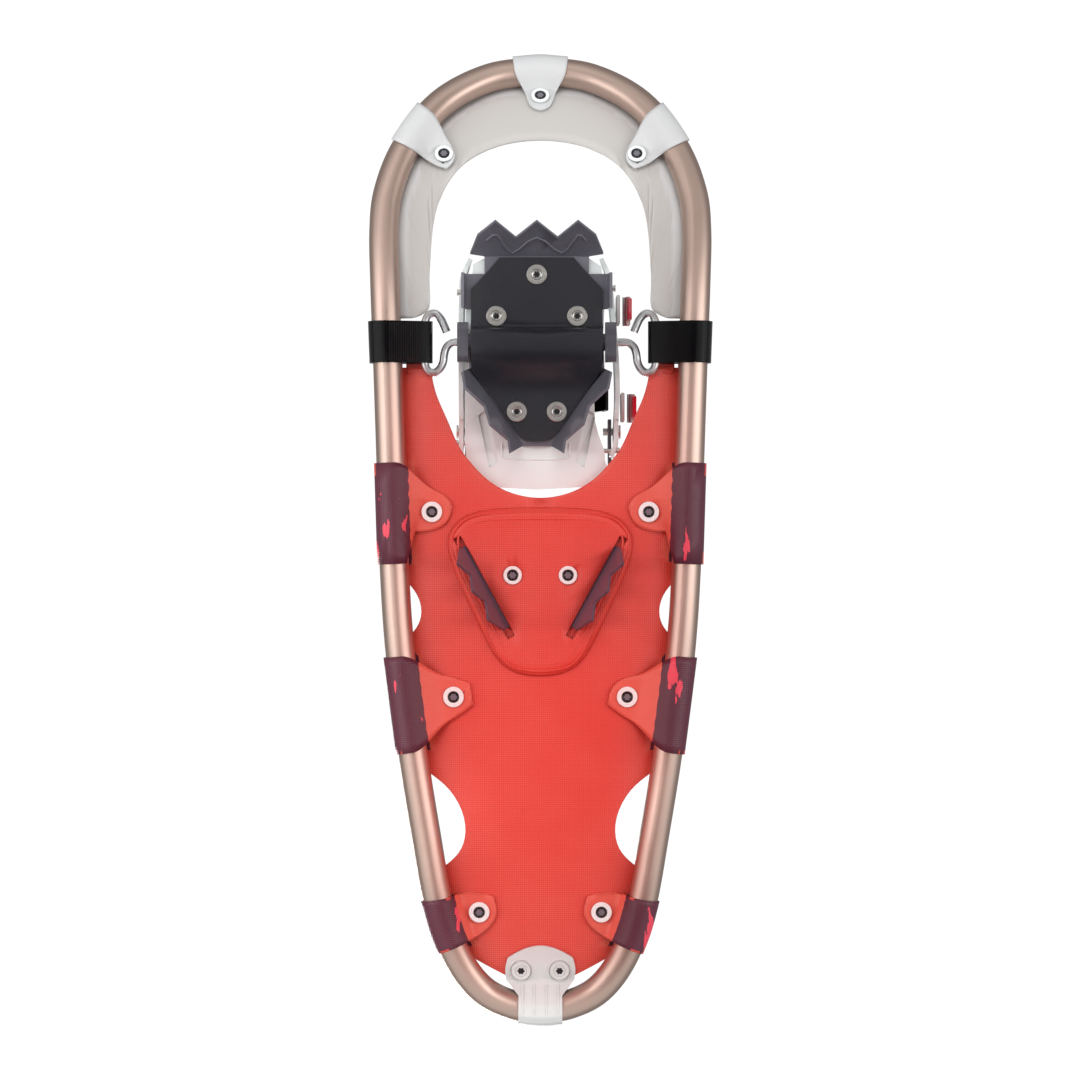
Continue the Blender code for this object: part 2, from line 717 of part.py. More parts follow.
CLIP_THICK = 1.8 * MM
CLIP_WIDTHS = [(-264, 4), (-267, 13), (-272, 21), (-279, 23.3), (-287, 22), (-291, 16)]
CLIP_TOP_WIDTHS = [(-291, 16), (-286, 21), (-278, 22), (-271, 17), (-267, 8)]
CLIP_RIVET = (12.5, -279.5)
CLIP_WAIST = 14.2 * MM


def make_tail_clip():
    off = SHEET / 2 + GAP + CLIP_THICK / 2 + 2 * SEAT_EASE
    wrap_r = TUBE_R + GAP + CLIP_THICK / 2 + 0.3 * MM
    bm = bmesh.new()
    spread = (0, 0.5, 1.0)
    rows = []
    for y, width in CLIP_WIDTHS[:-1]:
        rows.append([bm.verts.new((width * MM * f, y * MM,
                                   deck_height(width * MM * f, y * MM) - off)) for f in spread])
    for k in range(9):
        a = math.radians(-46 - (360 - 92) * k / 8)
        row = []
        for f in spread:
            x = CLIP_WAIST * f
            centre_y = along([(p.x, p.y) for p in SIDE_CURVE if p.y < TAIL_START], x)
            row.append(bm.verts.new((x, centre_y + wrap_r * math.cos(a),
                                     AXLE_Z + rise(centre_y) + wrap_r * math.sin(a))))
        rows.append(row)
    for y, width in CLIP_TOP_WIDTHS[1:]:
        rows.append([bm.verts.new((width * MM * f, y * MM,
                                   deck_height(width * MM * f, y * MM) + off)) for f in spread])
    grid_faces(bm, rows)
    clip = mesh_object("tail_clip", bm, "light_plastic")
    add_mirror(clip)
    add_solidify(clip, CLIP_THICK)
    deck = bpy.data.objects["main_deck"]
    for side, sign in (("left", -1), ("right", 1)):
        x, y = CLIP_RIVET[0] * MM * sign, CLIP_RIVET[1] * MM
        centre = (x, y, deck_height(x, y))
        above, below = seat(clip, centre, 6.2 * MM, slope(y))
        rivet("tail_rivet_" + side, "light_plastic", centre, above, below, 6.2 * MM, slope(y))
        hole = cylinder_cutter("hole_tail_" + side, centre, HOLE_R, 24 * MM, slope(y))
        cut(clip, hole)
        cut(deck, hole)


# Pivot: rod with hooked ends, straps round the tube, bushes.

STRAP_THICK = 1.8 * MM
STRAP_WIDTH = 27 * MM
HOOK_X = 74.5 * MM
# Hook at the rod's +X end, in the deck plane.
HOOK_ROUTE = [(46, 126.9), (50, 126.9), (54, 126.9), (57.8, 126.2), (60.8, 123.4), (62.2, 119),
              (62.8, 114.5), (64.6, 110.2), (68, 107.4), (72, 108), (74.4, 112), (74.5, 118),
              (74.5, 126), (74.5, 134), (74.4, 140.5), (72, 144.8), (67.8, 145.4), (64.4, 142),
              (62.2, 137.6), (60.6, 133.6)]


def make_axle():
    half = [Vector((x * MM, y * MM, AXLE_Z)) for x, y in HOOK_ROUTE]
    route = [Vector((-p.x, p.y, p.z)) for p in reversed(half)] + half
    curve = bpy.data.curves.new("axle_rod", "CURVE")
    curve.dimensions = "3D"
    curve.bevel_depth = ROD_R
    curve.bevel_resolution = 2
    curve.use_fill_caps = True
    spline = curve.splines.new("POLY")
    spline.points.add(len(route) - 1)
    for point, place in zip(spline.points, route):
        point.co = (place.x, place.y - AXLE_Y, place.z - AXLE_Z, 1)
    rod = bpy.data.objects.new("axle_rod", curve)
    rod.location = (0, AXLE_Y, AXLE_Z)
    PARTS.objects.link(rod)
    finish(rod, "zinc")


def strap_profile(tube_x):
    """Belt line round the tube and the hook's straight wire, in X and Z."""
    ease = 0.35 * MM
    big = TUBE_R + GAP + STRAP_THICK / 2 + ease
    small = ROD_R + GAP + STRAP_THICK / 2 + ease
    lean = math.acos((big - small) / (tube_x - HOOK_X))
    points = []
    for k in range(15):
        a = (math.pi - lean) - (2 * math.pi - 2 * lean) * k / 14
        points.append((tube_x + big * math.cos(a), big * math.sin(a)))
    for k in range(6):
        a = -(math.pi - lean) - 2 * lean * k / 5
        points.append((HOOK_X + small * math.cos(a), small * math.sin(a)))
    return points


def make_straps():
    for name, sign in (("strap_left", -1), ("strap_right", 1)):
        bm = bmesh.new()
        rows = []
        for y in (AXLE_Y - STRAP_WIDTH / 2, AXLE_Y + STRAP_WIDTH / 2):
            rows.append([bm.verts.new((x * sign, y, AXLE_Z + z))
                         for x, z in strap_profile(frame_x(y))])
        for i in range(len(rows[0])):
            j = (i + 1) % len(rows[0])
            bm.faces.new((rows[0][i], rows[0][j], rows[1][j], rows[1][i]))
        add_solidify(mesh_object(name, bm, "urethane"), STRAP_THICK)


BUSH_INNER, BUSH_STEP, BUSH_OUTER = 24 * MM, 44.2 * MM, 51.4 * MM


def make_bushes():
    """A round sleeve under the pad with a ribbed block at its outer end, bored for the rod."""
    sides = 18
    for name, sign in (("bush_left", -1), ("bush_right", 1)):
        bore, sleeve, block = [], [], []
        for k in range(sides):
            a = 2 * math.pi * k / sides
            c, s = math.cos(a), math.sin(a)
            bore.append((c * (ROD_R + 0.08 * MM), s * (ROD_R + 0.08 * MM)))
            sleeve.append((c * 5.8 * MM, s * 5.8 * MM))
            groove = 0.93 if k % 3 == 0 else 1.0
            reach = min(13.2 * MM / max(abs(c), 1e-6), 7.6 * MM / max(abs(s), 1e-6), 13.6 * MM)
            block.append((c * reach * groove, s * reach * groove))
        stations = [(BUSH_INNER, bore), (BUSH_INNER, sleeve), (BUSH_STEP, sleeve),
                    (BUSH_STEP, block), (BUSH_OUTER, block), (BUSH_OUTER, bore)]
        rings = [[(BINDING_X + sign * x, AXLE_Y + y, AXLE_Z + z) for y, z in outline]
                 for x, outline in stations]
        loft(name, rings, "smoke", (BINDING_X, AXLE_Y, AXLE_Z), closed=True)


# Toe crampon and its rubber cover.

PLATE_Z = AXLE_Z + 9.3 * MM
# Plate outline, +X side of the binding centre, from the front bend line to the rear.
PLATE = [(0, 184), (34, 184), (34, 172), (46.5, 172), (46.5, 149), (42.7, 149), (43.7, 110.5),
         (9.1, 60.1), (0, 60.1)]
FRONT_SPLAY = math.radians(33)
# Front teeth, +X side: (sideways, distance down the flange).
FRONT_TEETH = [(0, 36), (13.5, 19), (26.5, 36), (38.3, 21.5), (43.4, 2.5)]
REAR_TEETH = [(0.0, 17), (0.17, 31.2), (0.43, 19), (0.63, 31.2), (0.87, 18), (1.0, 30.5)]
REAR_SPLAY = math.radians(18.4)
EAR_DROP = 13 * MM
CRAMPON_RIVETS = [(0, 171.3), (26.3, 144.3), (-26.3, 144.3), (13, 82.3), (-13, 82.3)]


def make_toe_crampon():
    bm = bmesh.new()
    plate = [bm.verts.new((x * MM, y * MM, PLATE_Z)) for x, y in PLATE]
    bm.faces.new(plate)
    front = []
    for x, down in FRONT_TEETH:
        front.append(bm.verts.new((x * MM, plate[0].co.y + down * MM * math.sin(FRONT_SPLAY),
                                   PLATE_Z - down * MM * math.cos(FRONT_SPLAY))))
    bm.faces.new([plate[0]] + front + [plate[1]])
    ear = []
    for i in (3, 4):
        co = plate[i].co
        ear.append(bm.verts.new((co.x + 1.5 * MM, co.y, PLATE_Z - EAR_DROP)))
    bm.faces.new([plate[3], ear[0], ear[1], plate[4]])
    start, end = PLATE[6], PLATE[7]
    out = (start[1] - end[1], -(start[0] - end[0]))
    flange(bm, start, end, (plate[6], plate[7]), REAR_TEETH, out, PLATE_Z, REAR_SPLAY)
    crampon = mesh_object("toe_crampon", bm, "steel")
    add_mirror(crampon)
    add_solidify(crampon, STEEL)
    crampon.location = (BINDING_X, 0, 0)
    return crampon


PAD_SHEET = 2.2 * MM
PAD_Z = PLATE_Z - STEEL / 2 - GAP - PAD_SHEET / 2
RIDGE_Z = AXLE_Z - 7.8 * MM
# Rubber cover outline, +X side: (y, half width), and the ridge's shape: (y, 0 flat to 1 low).
COVER = [(182.5, 24), (172, 33), (162, 42.7), (150, 42.7), (110.5, 42.2), (107.5, 39.8),
         (91, 28.4), (78, 19.6), (70, 14), (65, 9.8), (62.8, 5)]
RIDGE = [(137.0, 0), (136.2, 0.1), (134.2, 0.9), (132.4, 1), (122, 1), (117, 0.9), (109, 0.45),
         (102, 0.1), (96, 0)]


def make_crampon_pad():
    bm = bmesh.new()
    ys = sorted({y for y, _ in COVER} | {y for y, _ in RIDGE}, reverse=True)
    rows = []
    for y in ys:
        half = along(COVER, y) * MM
        z = PAD_Z + (RIDGE_Z - PAD_Z) * along(RIDGE, y)
        rows.append([bm.verts.new((half * f, y * MM, z)) for f in (0, 0.5, 1.0)])
    grid_faces(bm, rows)
    pad = mesh_object("crampon_pad", bm, "rubber")
    add_mirror(pad)
    add_solidify(pad, PAD_SHEET)
    pad.location = (BINDING_X, 0, 0)
    return pad


# Footbed and its pad.

BED_BOTTOM = PLATE_Z + STEEL / 2 + GAP
BED_THICK = 5 * MM
BED_OUTLINE = [(33, 183), (42, 172), (46, 155), (46.8, 110), (46.8, 75), (46, 52), (41, 34),
               (-41, 34), (-44.5, 50), (-43, 60), (-38, 76), (-38, 104), (-43, 128), (-43, 166),
               (-33, 183)]
BED_PAD_THICK = 2.5 * MM


def plate_from(name, outline, bottom, thickness, finish_name):
    """A flat plate with the outline, in binding coordinates, made from a filled curve."""
    curve = bpy.data.curves.new(name, "CURVE")
    curve.dimensions = "2D"
    curve.fill_mode = "BOTH"
    curve.extrude = thickness / 2
    spline = curve.splines.new("POLY")
    spline.points.add(len(outline) - 1)
    for point, (x, y) in zip(spline.points, outline):
        point.co = (x, y, 0, 1)
    spline.use_cyclic_u = True
    holder = bpy.data.objects.new(name + "_curve", curve)
    holder.location = (BINDING_X, 0, bottom + thickness / 2)
    PARTS.objects.link(holder)
    bpy.context.view_layer.update()
    evaluated = holder.evaluated_get(bpy.context.evaluated_depsgraph_get())
    mesh = bpy.data.meshes.new_from_object(evaluated)
    bm = bmesh.new()
    bm.from_mesh(mesh)
    bmesh.ops.remove_doubles(bm, verts=bm.verts, dist=0.00001)
    bmesh.ops.recalc_face_normals(bm, faces=bm.faces)
    bm.to_mesh(mesh)
    bm.free()
    obj = bpy.data.objects.new(name, mesh)
    obj.matrix_world = holder.matrix_world
    bpy.data.objects.remove(holder)
    PARTS.objects.link(obj)
    return finish(obj, finish_name)


def rounded(points, steps=3):
    """Soften an outline, keeping its size."""
    return [(p.x, p.y) for p in smooth_path([(x * MM, y * MM, 0) for x, y in points], steps, True)]


def make_footbed(crampon, pad):
    bed = plate_from("footbed", rounded(BED_OUTLINE, 2), BED_BOTTOM, BED_THICK, "light_plastic")
    inset = [(x * 0.88, 108 + (y - 108) * 0.95) for x, y in BED_OUTLINE]
    top = BED_BOTTOM + BED_THICK
    plate_from("footbed_pad", rounded(inset, 2), top + GAP, BED_PAD_THICK, "smoke")
    for i, (x, y) in enumerate(CRAMPON_RIVETS):
        centre = (BINDING_X + x * MM, y * MM, PLATE_Z)
        above = STEEL / 2 + 2 * GAP + 2.0 * MM
        below = -STEEL / 2 - 2 * GAP - PAD_SHEET
        rivet("crampon_rivet_%d" % (i + 1), "nickel", centre, above, below, 6.65 * MM)
        hole = cylinder_cutter("hole_crampon_%d" % i, centre, HOLE_R, 40 * MM)
        sink = cylinder_cutter("sink_crampon_%d" % i, (centre[0], centre[1], top), 6.4 * MM,
                               6.2 * MM)
        cut(crampon, hole)
        cut(pad, hole)
        cut(bed, hole)
        cut(bed, sink)
    for side in (-1, 1):
        channel = plate_from("channel", [(side * x * MM, y * MM) for x, y in
                                         ((25, 50), (31, 46), (38, 80), (33, 84))],
                             BED_BOTTOM - 1 * MM, 3 * MM, "light_plastic")
        cut(bed, as_cutter(channel, "channel_cutter_%d" % side))
    return bed


# Wings: upright bands that hold the straps, riveted to the footbed's sides.

WING_THICK = 3 * MM
WING_FOOT = AXLE_Z + 10.9 * MM
# (x, y, top above the axle) in binding coordinates, front to rear.
OUTER_WING = [(-43.8, 179, 24), (-46.8, 170, 40), (-49.3, 150, 52), (-51.2, 128, 57),
              (-52.4, 108, 56), (-52.6, 92, 50), (-51.8, 77, 43), (-51.5, 69, 37),
              (-51.3, 62, 20), (-48.6, 53, 16)]
INNER_WING = [(44.8, 179, 22), (47.9, 170, 40), (49.2, 150, 52), (49.4, 128, 57), (49.4, 108, 56),
              (49.3, 92, 50), (49.2, 77, 43), (49.2, 69, 37), (49.2, 62, 21), (49.2, 53, 17)]
WING_RIVET_R = 1.5 * MM
# (name, side, y in binding coordinates, footbed edge)
WING_RIVETS = [("outer_front", -1, 163, 43), ("outer_rear", -1, 57, 43),
               ("inner_front", 1, 160, 45.6), ("inner_rear", 1, 62, 46.3)]


def make_wing(name, table):
    path, heights = [], []
    for p in smooth_path([(x * MM, y * MM, z * MM) for x, y, z in table], 2):
        top = AXLE_Z + p.z
        path.append((BINDING_X + p.x, p.y, (top + WING_FOOT) / 2))
        heights.append(top - WING_FOOT)
    return ribbon(name, path, (0, 0, 1), heights, WING_THICK, "light_plastic")


def wing_middle(table, y):
    """Sideways place of a wing's middle at y, in binding coordinates."""
    return along([(ky, x) for x, ky, _ in table], y) * MM


def side_rivet(name, finish_name, x, y, z, outer, inner, side, shaft_r, head_r):
    """A small rivet along X: a flat head at the outer end, a plain shaft inwards."""
    profile = [(0, HEAD), (head_r, HEAD), (head_r, 0), (shaft_r, 0), (shaft_r, inner - outer),
               (0, inner - outer)]
    return turned(name, profile, finish_name, (x + side * outer, y, z), 0, 8,
                  side * math.pi / 2)


def side_hole(name, x, y, z, radius, depth):
    """A cutter along X."""
    hole = cylinder_cutter(name, (x, y, z), radius, depth)
    hole.rotation_euler = (0, math.pi / 2, 0)
    return hole


def make_wings(bed):
    wings = {-1: (make_wing("outer_wing", OUTER_WING), OUTER_WING),
             1: (make_wing("inner_wing", INNER_WING), INNER_WING)}
    z = BED_BOTTOM + BED_THICK / 2 + 0.2 * MM
    for label, side, y, edge in WING_RIVETS:
        wing, table = wings[side]
        slant = abs(wing_middle(table, y + 3) - wing_middle(table, y - 3)) / 2
        face = abs(wing_middle(table, y)) + WING_THICK / 2 + GAP + SEAT_EASE + slant
        side_rivet("wing_rivet_" + label, "nickel", BINDING_X, y * MM, z, face,
                   edge * MM - 6 * MM, side, WING_RIVET_R, 2.2 * MM)
        hole = side_hole("hole_wing_" + label, BINDING_X + side * (edge + 3) * MM, y * MM, z,
                         WING_RIVET_R + 0.35 * MM, 20 * MM)
        cut(bed, hole)
        cut(wing, hole)
    return wings


# Straps over the foot, each with a buckle base, a lever and a pin on the outer side.

# (name, y, top above the axle, half span)
STRAPS = [("toe", 160.0, 70.0, 42.4), ("instep", 96.0, 84.0, 46.0)]
STRAP_BAND = 24 * MM
BAND_THICK = 2.2 * MM


def make_over_straps():
    for label, y, top, half_span in STRAPS:
        name = label + "_strap"
        reach = half_span * MM
        base = 30 * MM
        path = []
        for k in range(17):
            a = math.pi * k / 16
            path.append((BINDING_X + reach * math.cos(a), y * MM,
                         AXLE_Z + base + (top * MM - base) * math.sin(a) ** 0.8))
        ribbon(name, path, (0, 1, 0), STRAP_BAND, BAND_THICK, "urethane")


def make_buckles():
    """On each strap: a base riveted to the outer wing, a red lever and its pin."""
    for label, y, _, _ in STRAPS:
        half = 9.5 * MM
        y0 = y * MM - 10 * MM
        x_face = BINDING_X + wing_middle(OUTER_WING, y - 10) - WING_THICK / 2 - 1.3 * MM
        z_pin = AXLE_Z + 44 * MM
        base_thick = 2.4 * MM
        bpy.ops.mesh.primitive_cube_add(size=1, location=(x_face - base_thick / 2, y0,
                                                          z_pin - 9 * MM))
        base = bpy.context.object
        base.name = label + "_buckle_base"
        for vert in base.data.vertices:
            vert.co = Vector((vert.co.x * base_thick, vert.co.y * 2 * half, vert.co.z * 24 * MM))
        finish(base, "light_plastic")
        add_bevel(base, 0.6 * MM, 2)
        pin_x = x_face - base_thick - 3.4 * MM
        bpy.ops.mesh.primitive_cylinder_add(vertices=14, radius=1.4 * MM, depth=2 * half,
                                            location=(pin_x, y0, z_pin),
                                            rotation=(math.pi / 2, 0, 0))
        pin = bpy.context.object
        pin.name = label + "_lever_pin"
        finish(pin, "zinc")
        lever_path = [(pin_x - 1.8 * MM, y0, z_pin + 1.0 * MM),
                      (pin_x - 2.0 * MM, y0, z_pin - 2.0 * MM),
                      (pin_x - 2.6 * MM, y0, z_pin - 8 * MM),
                      (pin_x - 1.6 * MM, y0, z_pin - 18 * MM),
                      (pin_x - 3.2 * MM, y0, z_pin - 25 * MM)]
        widths = [2 * half, 2 * half, 2 * half * 0.95, 2 * half * 0.9, 2 * half * 0.7]
        lever = ribbon(label + "_lever", smooth_path(lever_path, 2), (0, 1, 0),
                       [p.x for p in smooth_path([(w, 0, 0) for w in widths], 2)], 2.2 * MM,
                       "red", (pin_x, y0, z_pin))
        relief = cylinder_cutter("lever_relief_" + label, (pin_x, y0, z_pin), 1.75 * MM,
                                 3 * half, 0)
        relief.rotation_euler = (math.pi / 2, 0, 0)
        cut(lever, relief)


HEEL_STRAP_Y, HEEL_STRAP_Z = 70 * MM, AXLE_Z + 32 * MM


def make_heel_strap(wings):
    """A loop behind the boot, hinged at its two front ends inside the wings."""
    route = [(45.7, 78), (45.7, 70), (45.9, 60), (46.5, 20), (47, -30), (44, -68), (30, -92),
             (0, -101), (-30, -92), (-45, -68), (-48.5, -30), (-48.2, 20), (-47.7, 60),
             (-47.7, 70), (-47.7, 78)]
    path = [Vector((BINDING_X + x * MM, y * MM, HEEL_STRAP_Z)) for x, y in route]
    strap = ribbon("heel_strap", smooth_path(path, 2), (0, 0, 1), 18 * MM, BAND_THICK, "smoke",
                   (BINDING_X, HEEL_STRAP_Y, HEEL_STRAP_Z))
    for name, side in (("heel_pivot_outer", -1), ("heel_pivot_inner", 1)):
        wing, table = wings[side]
        face = abs(wing_middle(table, HEEL_STRAP_Y / MM)) + WING_THICK / 2 + GAP + 2 * SEAT_EASE
        side_rivet(name, "nickel", BINDING_X, HEEL_STRAP_Y, HEEL_STRAP_Z, face, 43.5 * MM, side,
                   2.4 * MM, 4.5 * MM)
        hole = side_hole("hole_" + name, BINDING_X + side * 48 * MM, HEEL_STRAP_Y, HEEL_STRAP_Z,
                         2.8 * MM, 14 * MM)
        cut(wing, hole)
        cut(strap, hole)


def main():
    global PARTS, CUTTERS
    for obj in list(bpy.data.objects):
        bpy.data.objects.remove(obj)
    PARTS = bpy.data.collections.new("snowshoe")
    CUTTERS = bpy.data.collections.new("cutters")
    bpy.context.scene.collection.children.link(PARTS)
    bpy.context.scene.collection.children.link(CUTTERS)
    make_frame()
    deck = make_main_deck()
    toe = make_toe_deck()
    deck_rivets(deck, toe)
    make_heel()
    make_tail_clip()
    make_axle()
    make_straps()
    make_bushes()
    crampon = make_toe_crampon()
    pad = make_crampon_pad()
    bed = make_footbed(crampon, pad)
    wings = make_wings(bed)
    make_over_straps()
    make_buckles()
    make_heel_strap(wings)
    for obj in list(PARTS.objects) + list(CUTTERS.objects):
        obj.location.y -= MIDDLE_Y
        obj.location.z -= TOOTH_Z


main()
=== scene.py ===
# %% [markdown]
# # A left trail snowshoe, seen from underneath
# A bent aluminium tube carries two coated fabric decks. A rod hangs across it in two moulded
# straps, and the binding turns on that rod with a toothed steel crampon below it.
# The CAD frame is loaded first. Every visual piece then rides on one of its bodies.

# %% Load the frame
import json
import math

import bmesh
import bpy
import numpy as np
from mathutils import Matrix, Vector
from mathutils.bvhtree import BVHTree
from mathutils.kdtree import KDTree


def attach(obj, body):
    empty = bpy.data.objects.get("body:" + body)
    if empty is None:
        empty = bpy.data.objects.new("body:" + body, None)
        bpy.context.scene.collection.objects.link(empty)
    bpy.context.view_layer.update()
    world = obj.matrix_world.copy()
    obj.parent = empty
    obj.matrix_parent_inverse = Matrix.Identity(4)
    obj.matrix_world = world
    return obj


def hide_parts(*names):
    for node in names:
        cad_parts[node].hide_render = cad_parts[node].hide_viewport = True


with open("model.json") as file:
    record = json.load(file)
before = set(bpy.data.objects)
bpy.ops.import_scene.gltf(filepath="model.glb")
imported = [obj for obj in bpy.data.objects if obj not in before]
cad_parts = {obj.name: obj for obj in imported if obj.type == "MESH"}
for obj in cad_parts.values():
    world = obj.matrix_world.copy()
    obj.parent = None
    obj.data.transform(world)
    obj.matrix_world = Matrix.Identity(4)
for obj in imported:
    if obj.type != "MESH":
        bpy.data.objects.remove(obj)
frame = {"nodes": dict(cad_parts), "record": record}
nodes = frame["nodes"]
body_of = {node: body for body, members in frame["record"]["behaviour"]["bodies"].items()
           for node in members}
slot_of = {s["node"]: s["material_slot"] for s in frame["record"]["subparts"]}
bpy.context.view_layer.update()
MM = 0.001
UP = Vector((0, 0, 1))

# %% [markdown]
# ## Node helpers
# Materials here are built from a few kinds of node. A helper for each keeps the recipes short:
# every input of a helper may be a number or the output of another node.

# %% Node helpers
MIX_FACTOR, MIX_FIRST, MIX_SECOND, MIX_RESULT = 0, 6, 7, 2     # a colour mix's own sockets


def feed(tree, value, socket):
    """Links an output to the socket, or sets the socket's constant."""
    if isinstance(value, bpy.types.NodeSocket):
        tree.links.new(value, socket)
    elif value is not None:
        socket.default_value = value


def maths(tree, operation, a, b, c=None):
    """A math node; a, b and c are outputs or numbers."""
    node = tree.nodes.new("ShaderNodeMath")
    node.operation = operation
    for socket, value in zip(node.inputs, (a, b, c)):
        feed(tree, value, socket)
    return node.outputs[0]


def mixed(tree, factor, first, second):
    """A colour between the first and the second."""
    node = tree.nodes.new("ShaderNodeMix")
    node.data_type = "RGBA"
    for index, value in ((MIX_FACTOR, factor), (MIX_FIRST, first), (MIX_SECOND, second)):
        feed(tree, value, node.inputs[index])
    return node.outputs[MIX_RESULT]


def own_coords(tree):
    """The piece's own coordinates."""
    return tree.nodes.new("ShaderNodeTexCoord").outputs["Object"]


def noise(tree, coords, scale, detail=3.0):
    """A noise texture of that scale."""
    node = tree.nodes.new("ShaderNodeTexNoise")
    node.inputs["Scale"].default_value = scale
    node.inputs["Detail"].default_value = detail
    tree.links.new(coords, node.inputs["Vector"])
    return node.outputs["Fac"]


print("node helpers: maths, mixed, own_coords, noise")

# %% [markdown]
# ## Shared surface effects
# Real finishes are never perfectly even: anodising and moulded plastic hold faint smudges and a
# fine grain. One noise group gives every finish its unevenness, in the piece's own coordinates,
# so that it stays put when a joint turns.

# %% Grain group
SMUDGE_SCALE, GRAIN_SCALE = 28.0, 2600.0
SMUDGE_RELIEF = 0.3                     # share of the smudges in the relief


def new_group(name, sockets_in, sockets_out):
    """An empty shader group with float inputs (name, value) and float outputs."""
    group = bpy.data.node_groups.new(name, "ShaderNodeTree")
    for label, value in sockets_in:
        socket = group.interface.new_socket(label, in_out="INPUT",
                                            socket_type="NodeSocketFloat")
        socket.default_value = value
    for label in sockets_out:
        group.interface.new_socket(label, in_out="OUTPUT", socket_type="NodeSocketFloat")
    return group, group.nodes.new("NodeGroupInput"), group.nodes.new("NodeGroupOutput")


def make_grain():
    """Smudges that shift the roughness, and a fine grain for the bump."""
    group, given, result = new_group("grain", [("Roughness", 0.4), ("Smudge", 0.08)],
                                     ["Roughness", "Height"])
    coords = own_coords(group)
    broad = noise(group, coords, SMUDGE_SCALE)
    fine = noise(group, coords, GRAIN_SCALE, detail=2.0)
    shift = maths(group, "MULTIPLY", maths(group, "SUBTRACT", broad, 0.5),
                  given.outputs["Smudge"])
    rough = maths(group, "ADD", given.outputs["Roughness"], shift)
    group.links.new(rough, result.inputs["Roughness"])
    height = maths(group, "MULTIPLY_ADD", broad, SMUDGE_RELIEF, fine)
    group.links.new(height, result.inputs["Height"])
    return group


GRAIN = make_grain()
print("grain group:", len(GRAIN.nodes), "nodes")

# %% [markdown]
# The deck is a woven polyester coated on both faces. The coating follows the yarns, which leaves
# a fine diagonal pattern about a millimetre apart. Two crossed waves make it.

# %% Weave group
DIAGONAL = 0.707                        # a step along one axis, measured on the diagonal


def make_weave():
    """Height of crossed diagonal yarns."""
    group, given, result = new_group("weave", [("Turns per metre", 900.0)], ["Height"])
    split = group.nodes.new("ShaderNodeSeparateXYZ")
    group.links.new(own_coords(group), split.inputs[0])
    turns = given.outputs["Turns per metre"]
    waves = []
    for sign in (1.0, -1.0):
        lean = maths(group, "MULTIPLY_ADD", split.outputs["X"], sign, split.outputs["Y"])
        pace = maths(group, "MULTIPLY", turns, 2 * math.pi * DIAGONAL)
        waves.append(maths(group, "SINE", maths(group, "MULTIPLY", lean, pace), 0.0))
    group.links.new(maths(group, "MULTIPLY", *waves), result.inputs["Height"])
    return group


WEAVE = make_weave()
print("weave group:", len(WEAVE.nodes), "nodes")

# %% [markdown]
# ## Finishes
# Paint and plastic are easiest to name by how they look on a screen, from 0 to 255. A renderer
# adds up light, so it needs the linear value behind each of them.

# %% Screen colours


def srgb(r, g, b):
    """Linear colour from 0 to 255 display values."""
    def lift(v):
        v = v / 255
        return v / 12.92 if v <= 0.04045 else ((v + 0.055) / 1.055) ** 2.4
    return (lift(r), lift(g), lift(b), 1.0)


print("a screen grey of 128 is", round(srgb(128, 128, 128)[0], 3), "in linear light")

# %% [markdown]
# Each finish is one Principled shader. Its roughness comes from the grain group, and a bump node
# turns the grain or the weave into relief.

# %% Finish function
COAT_ROUGHNESS = 0.06                   # a clear coat is much smoother than what it covers


def use_group(tree, group, values):
    """The shared group placed in a material, with that material's own values."""
    node = tree.nodes.new("ShaderNodeGroup")
    node.node_tree = group
    for label, value in values.items():
        node.inputs[label].default_value = value
    return node


def finish(name, colour, roughness, metallic=0.0, coat=0.0, specular=0.5, smudge=0.08,
           relief=0.04, depth=0.02, weave=None):
    """A Principled material with uneven roughness and a relief of that depth in mm."""
    material = bpy.data.materials.new(name)
    material.use_nodes = True
    tree = material.node_tree
    shader = tree.nodes["Principled BSDF"]
    for label, value in (("Base Color", srgb(*colour)), ("Metallic", metallic),
                         ("Specular IOR Level", specular), ("Coat Weight", coat),
                         ("Coat Roughness", COAT_ROUGHNESS)):
        shader.inputs[label].default_value = value
    grain = use_group(tree, GRAIN, {"Roughness": roughness, "Smudge": smudge})
    tree.links.new(grain.outputs["Roughness"], shader.inputs["Roughness"])
    bump = tree.nodes.new("ShaderNodeBump")
    bump.inputs["Strength"].default_value = relief
    bump.inputs["Distance"].default_value = depth * MM
    source = use_group(tree, WEAVE, {"Turns per metre": weave}) if weave else grain
    tree.links.new(source.outputs["Height"], bump.inputs["Height"])
    tree.links.new(bump.outputs["Normal"], shader.inputs["Normal"])
    return material


print("each finish has a coat roughness of", COAT_ROUGHNESS)

# %% [markdown]
# The tube is bead-blasted and anodised champagne bronze, the hooks are bright zinc plate, and the
# crampons are powder coated. The rubber cover is a soft black with a pebbled grain. The straps
# are gloss urethane, and their moulded ribs catch the light.

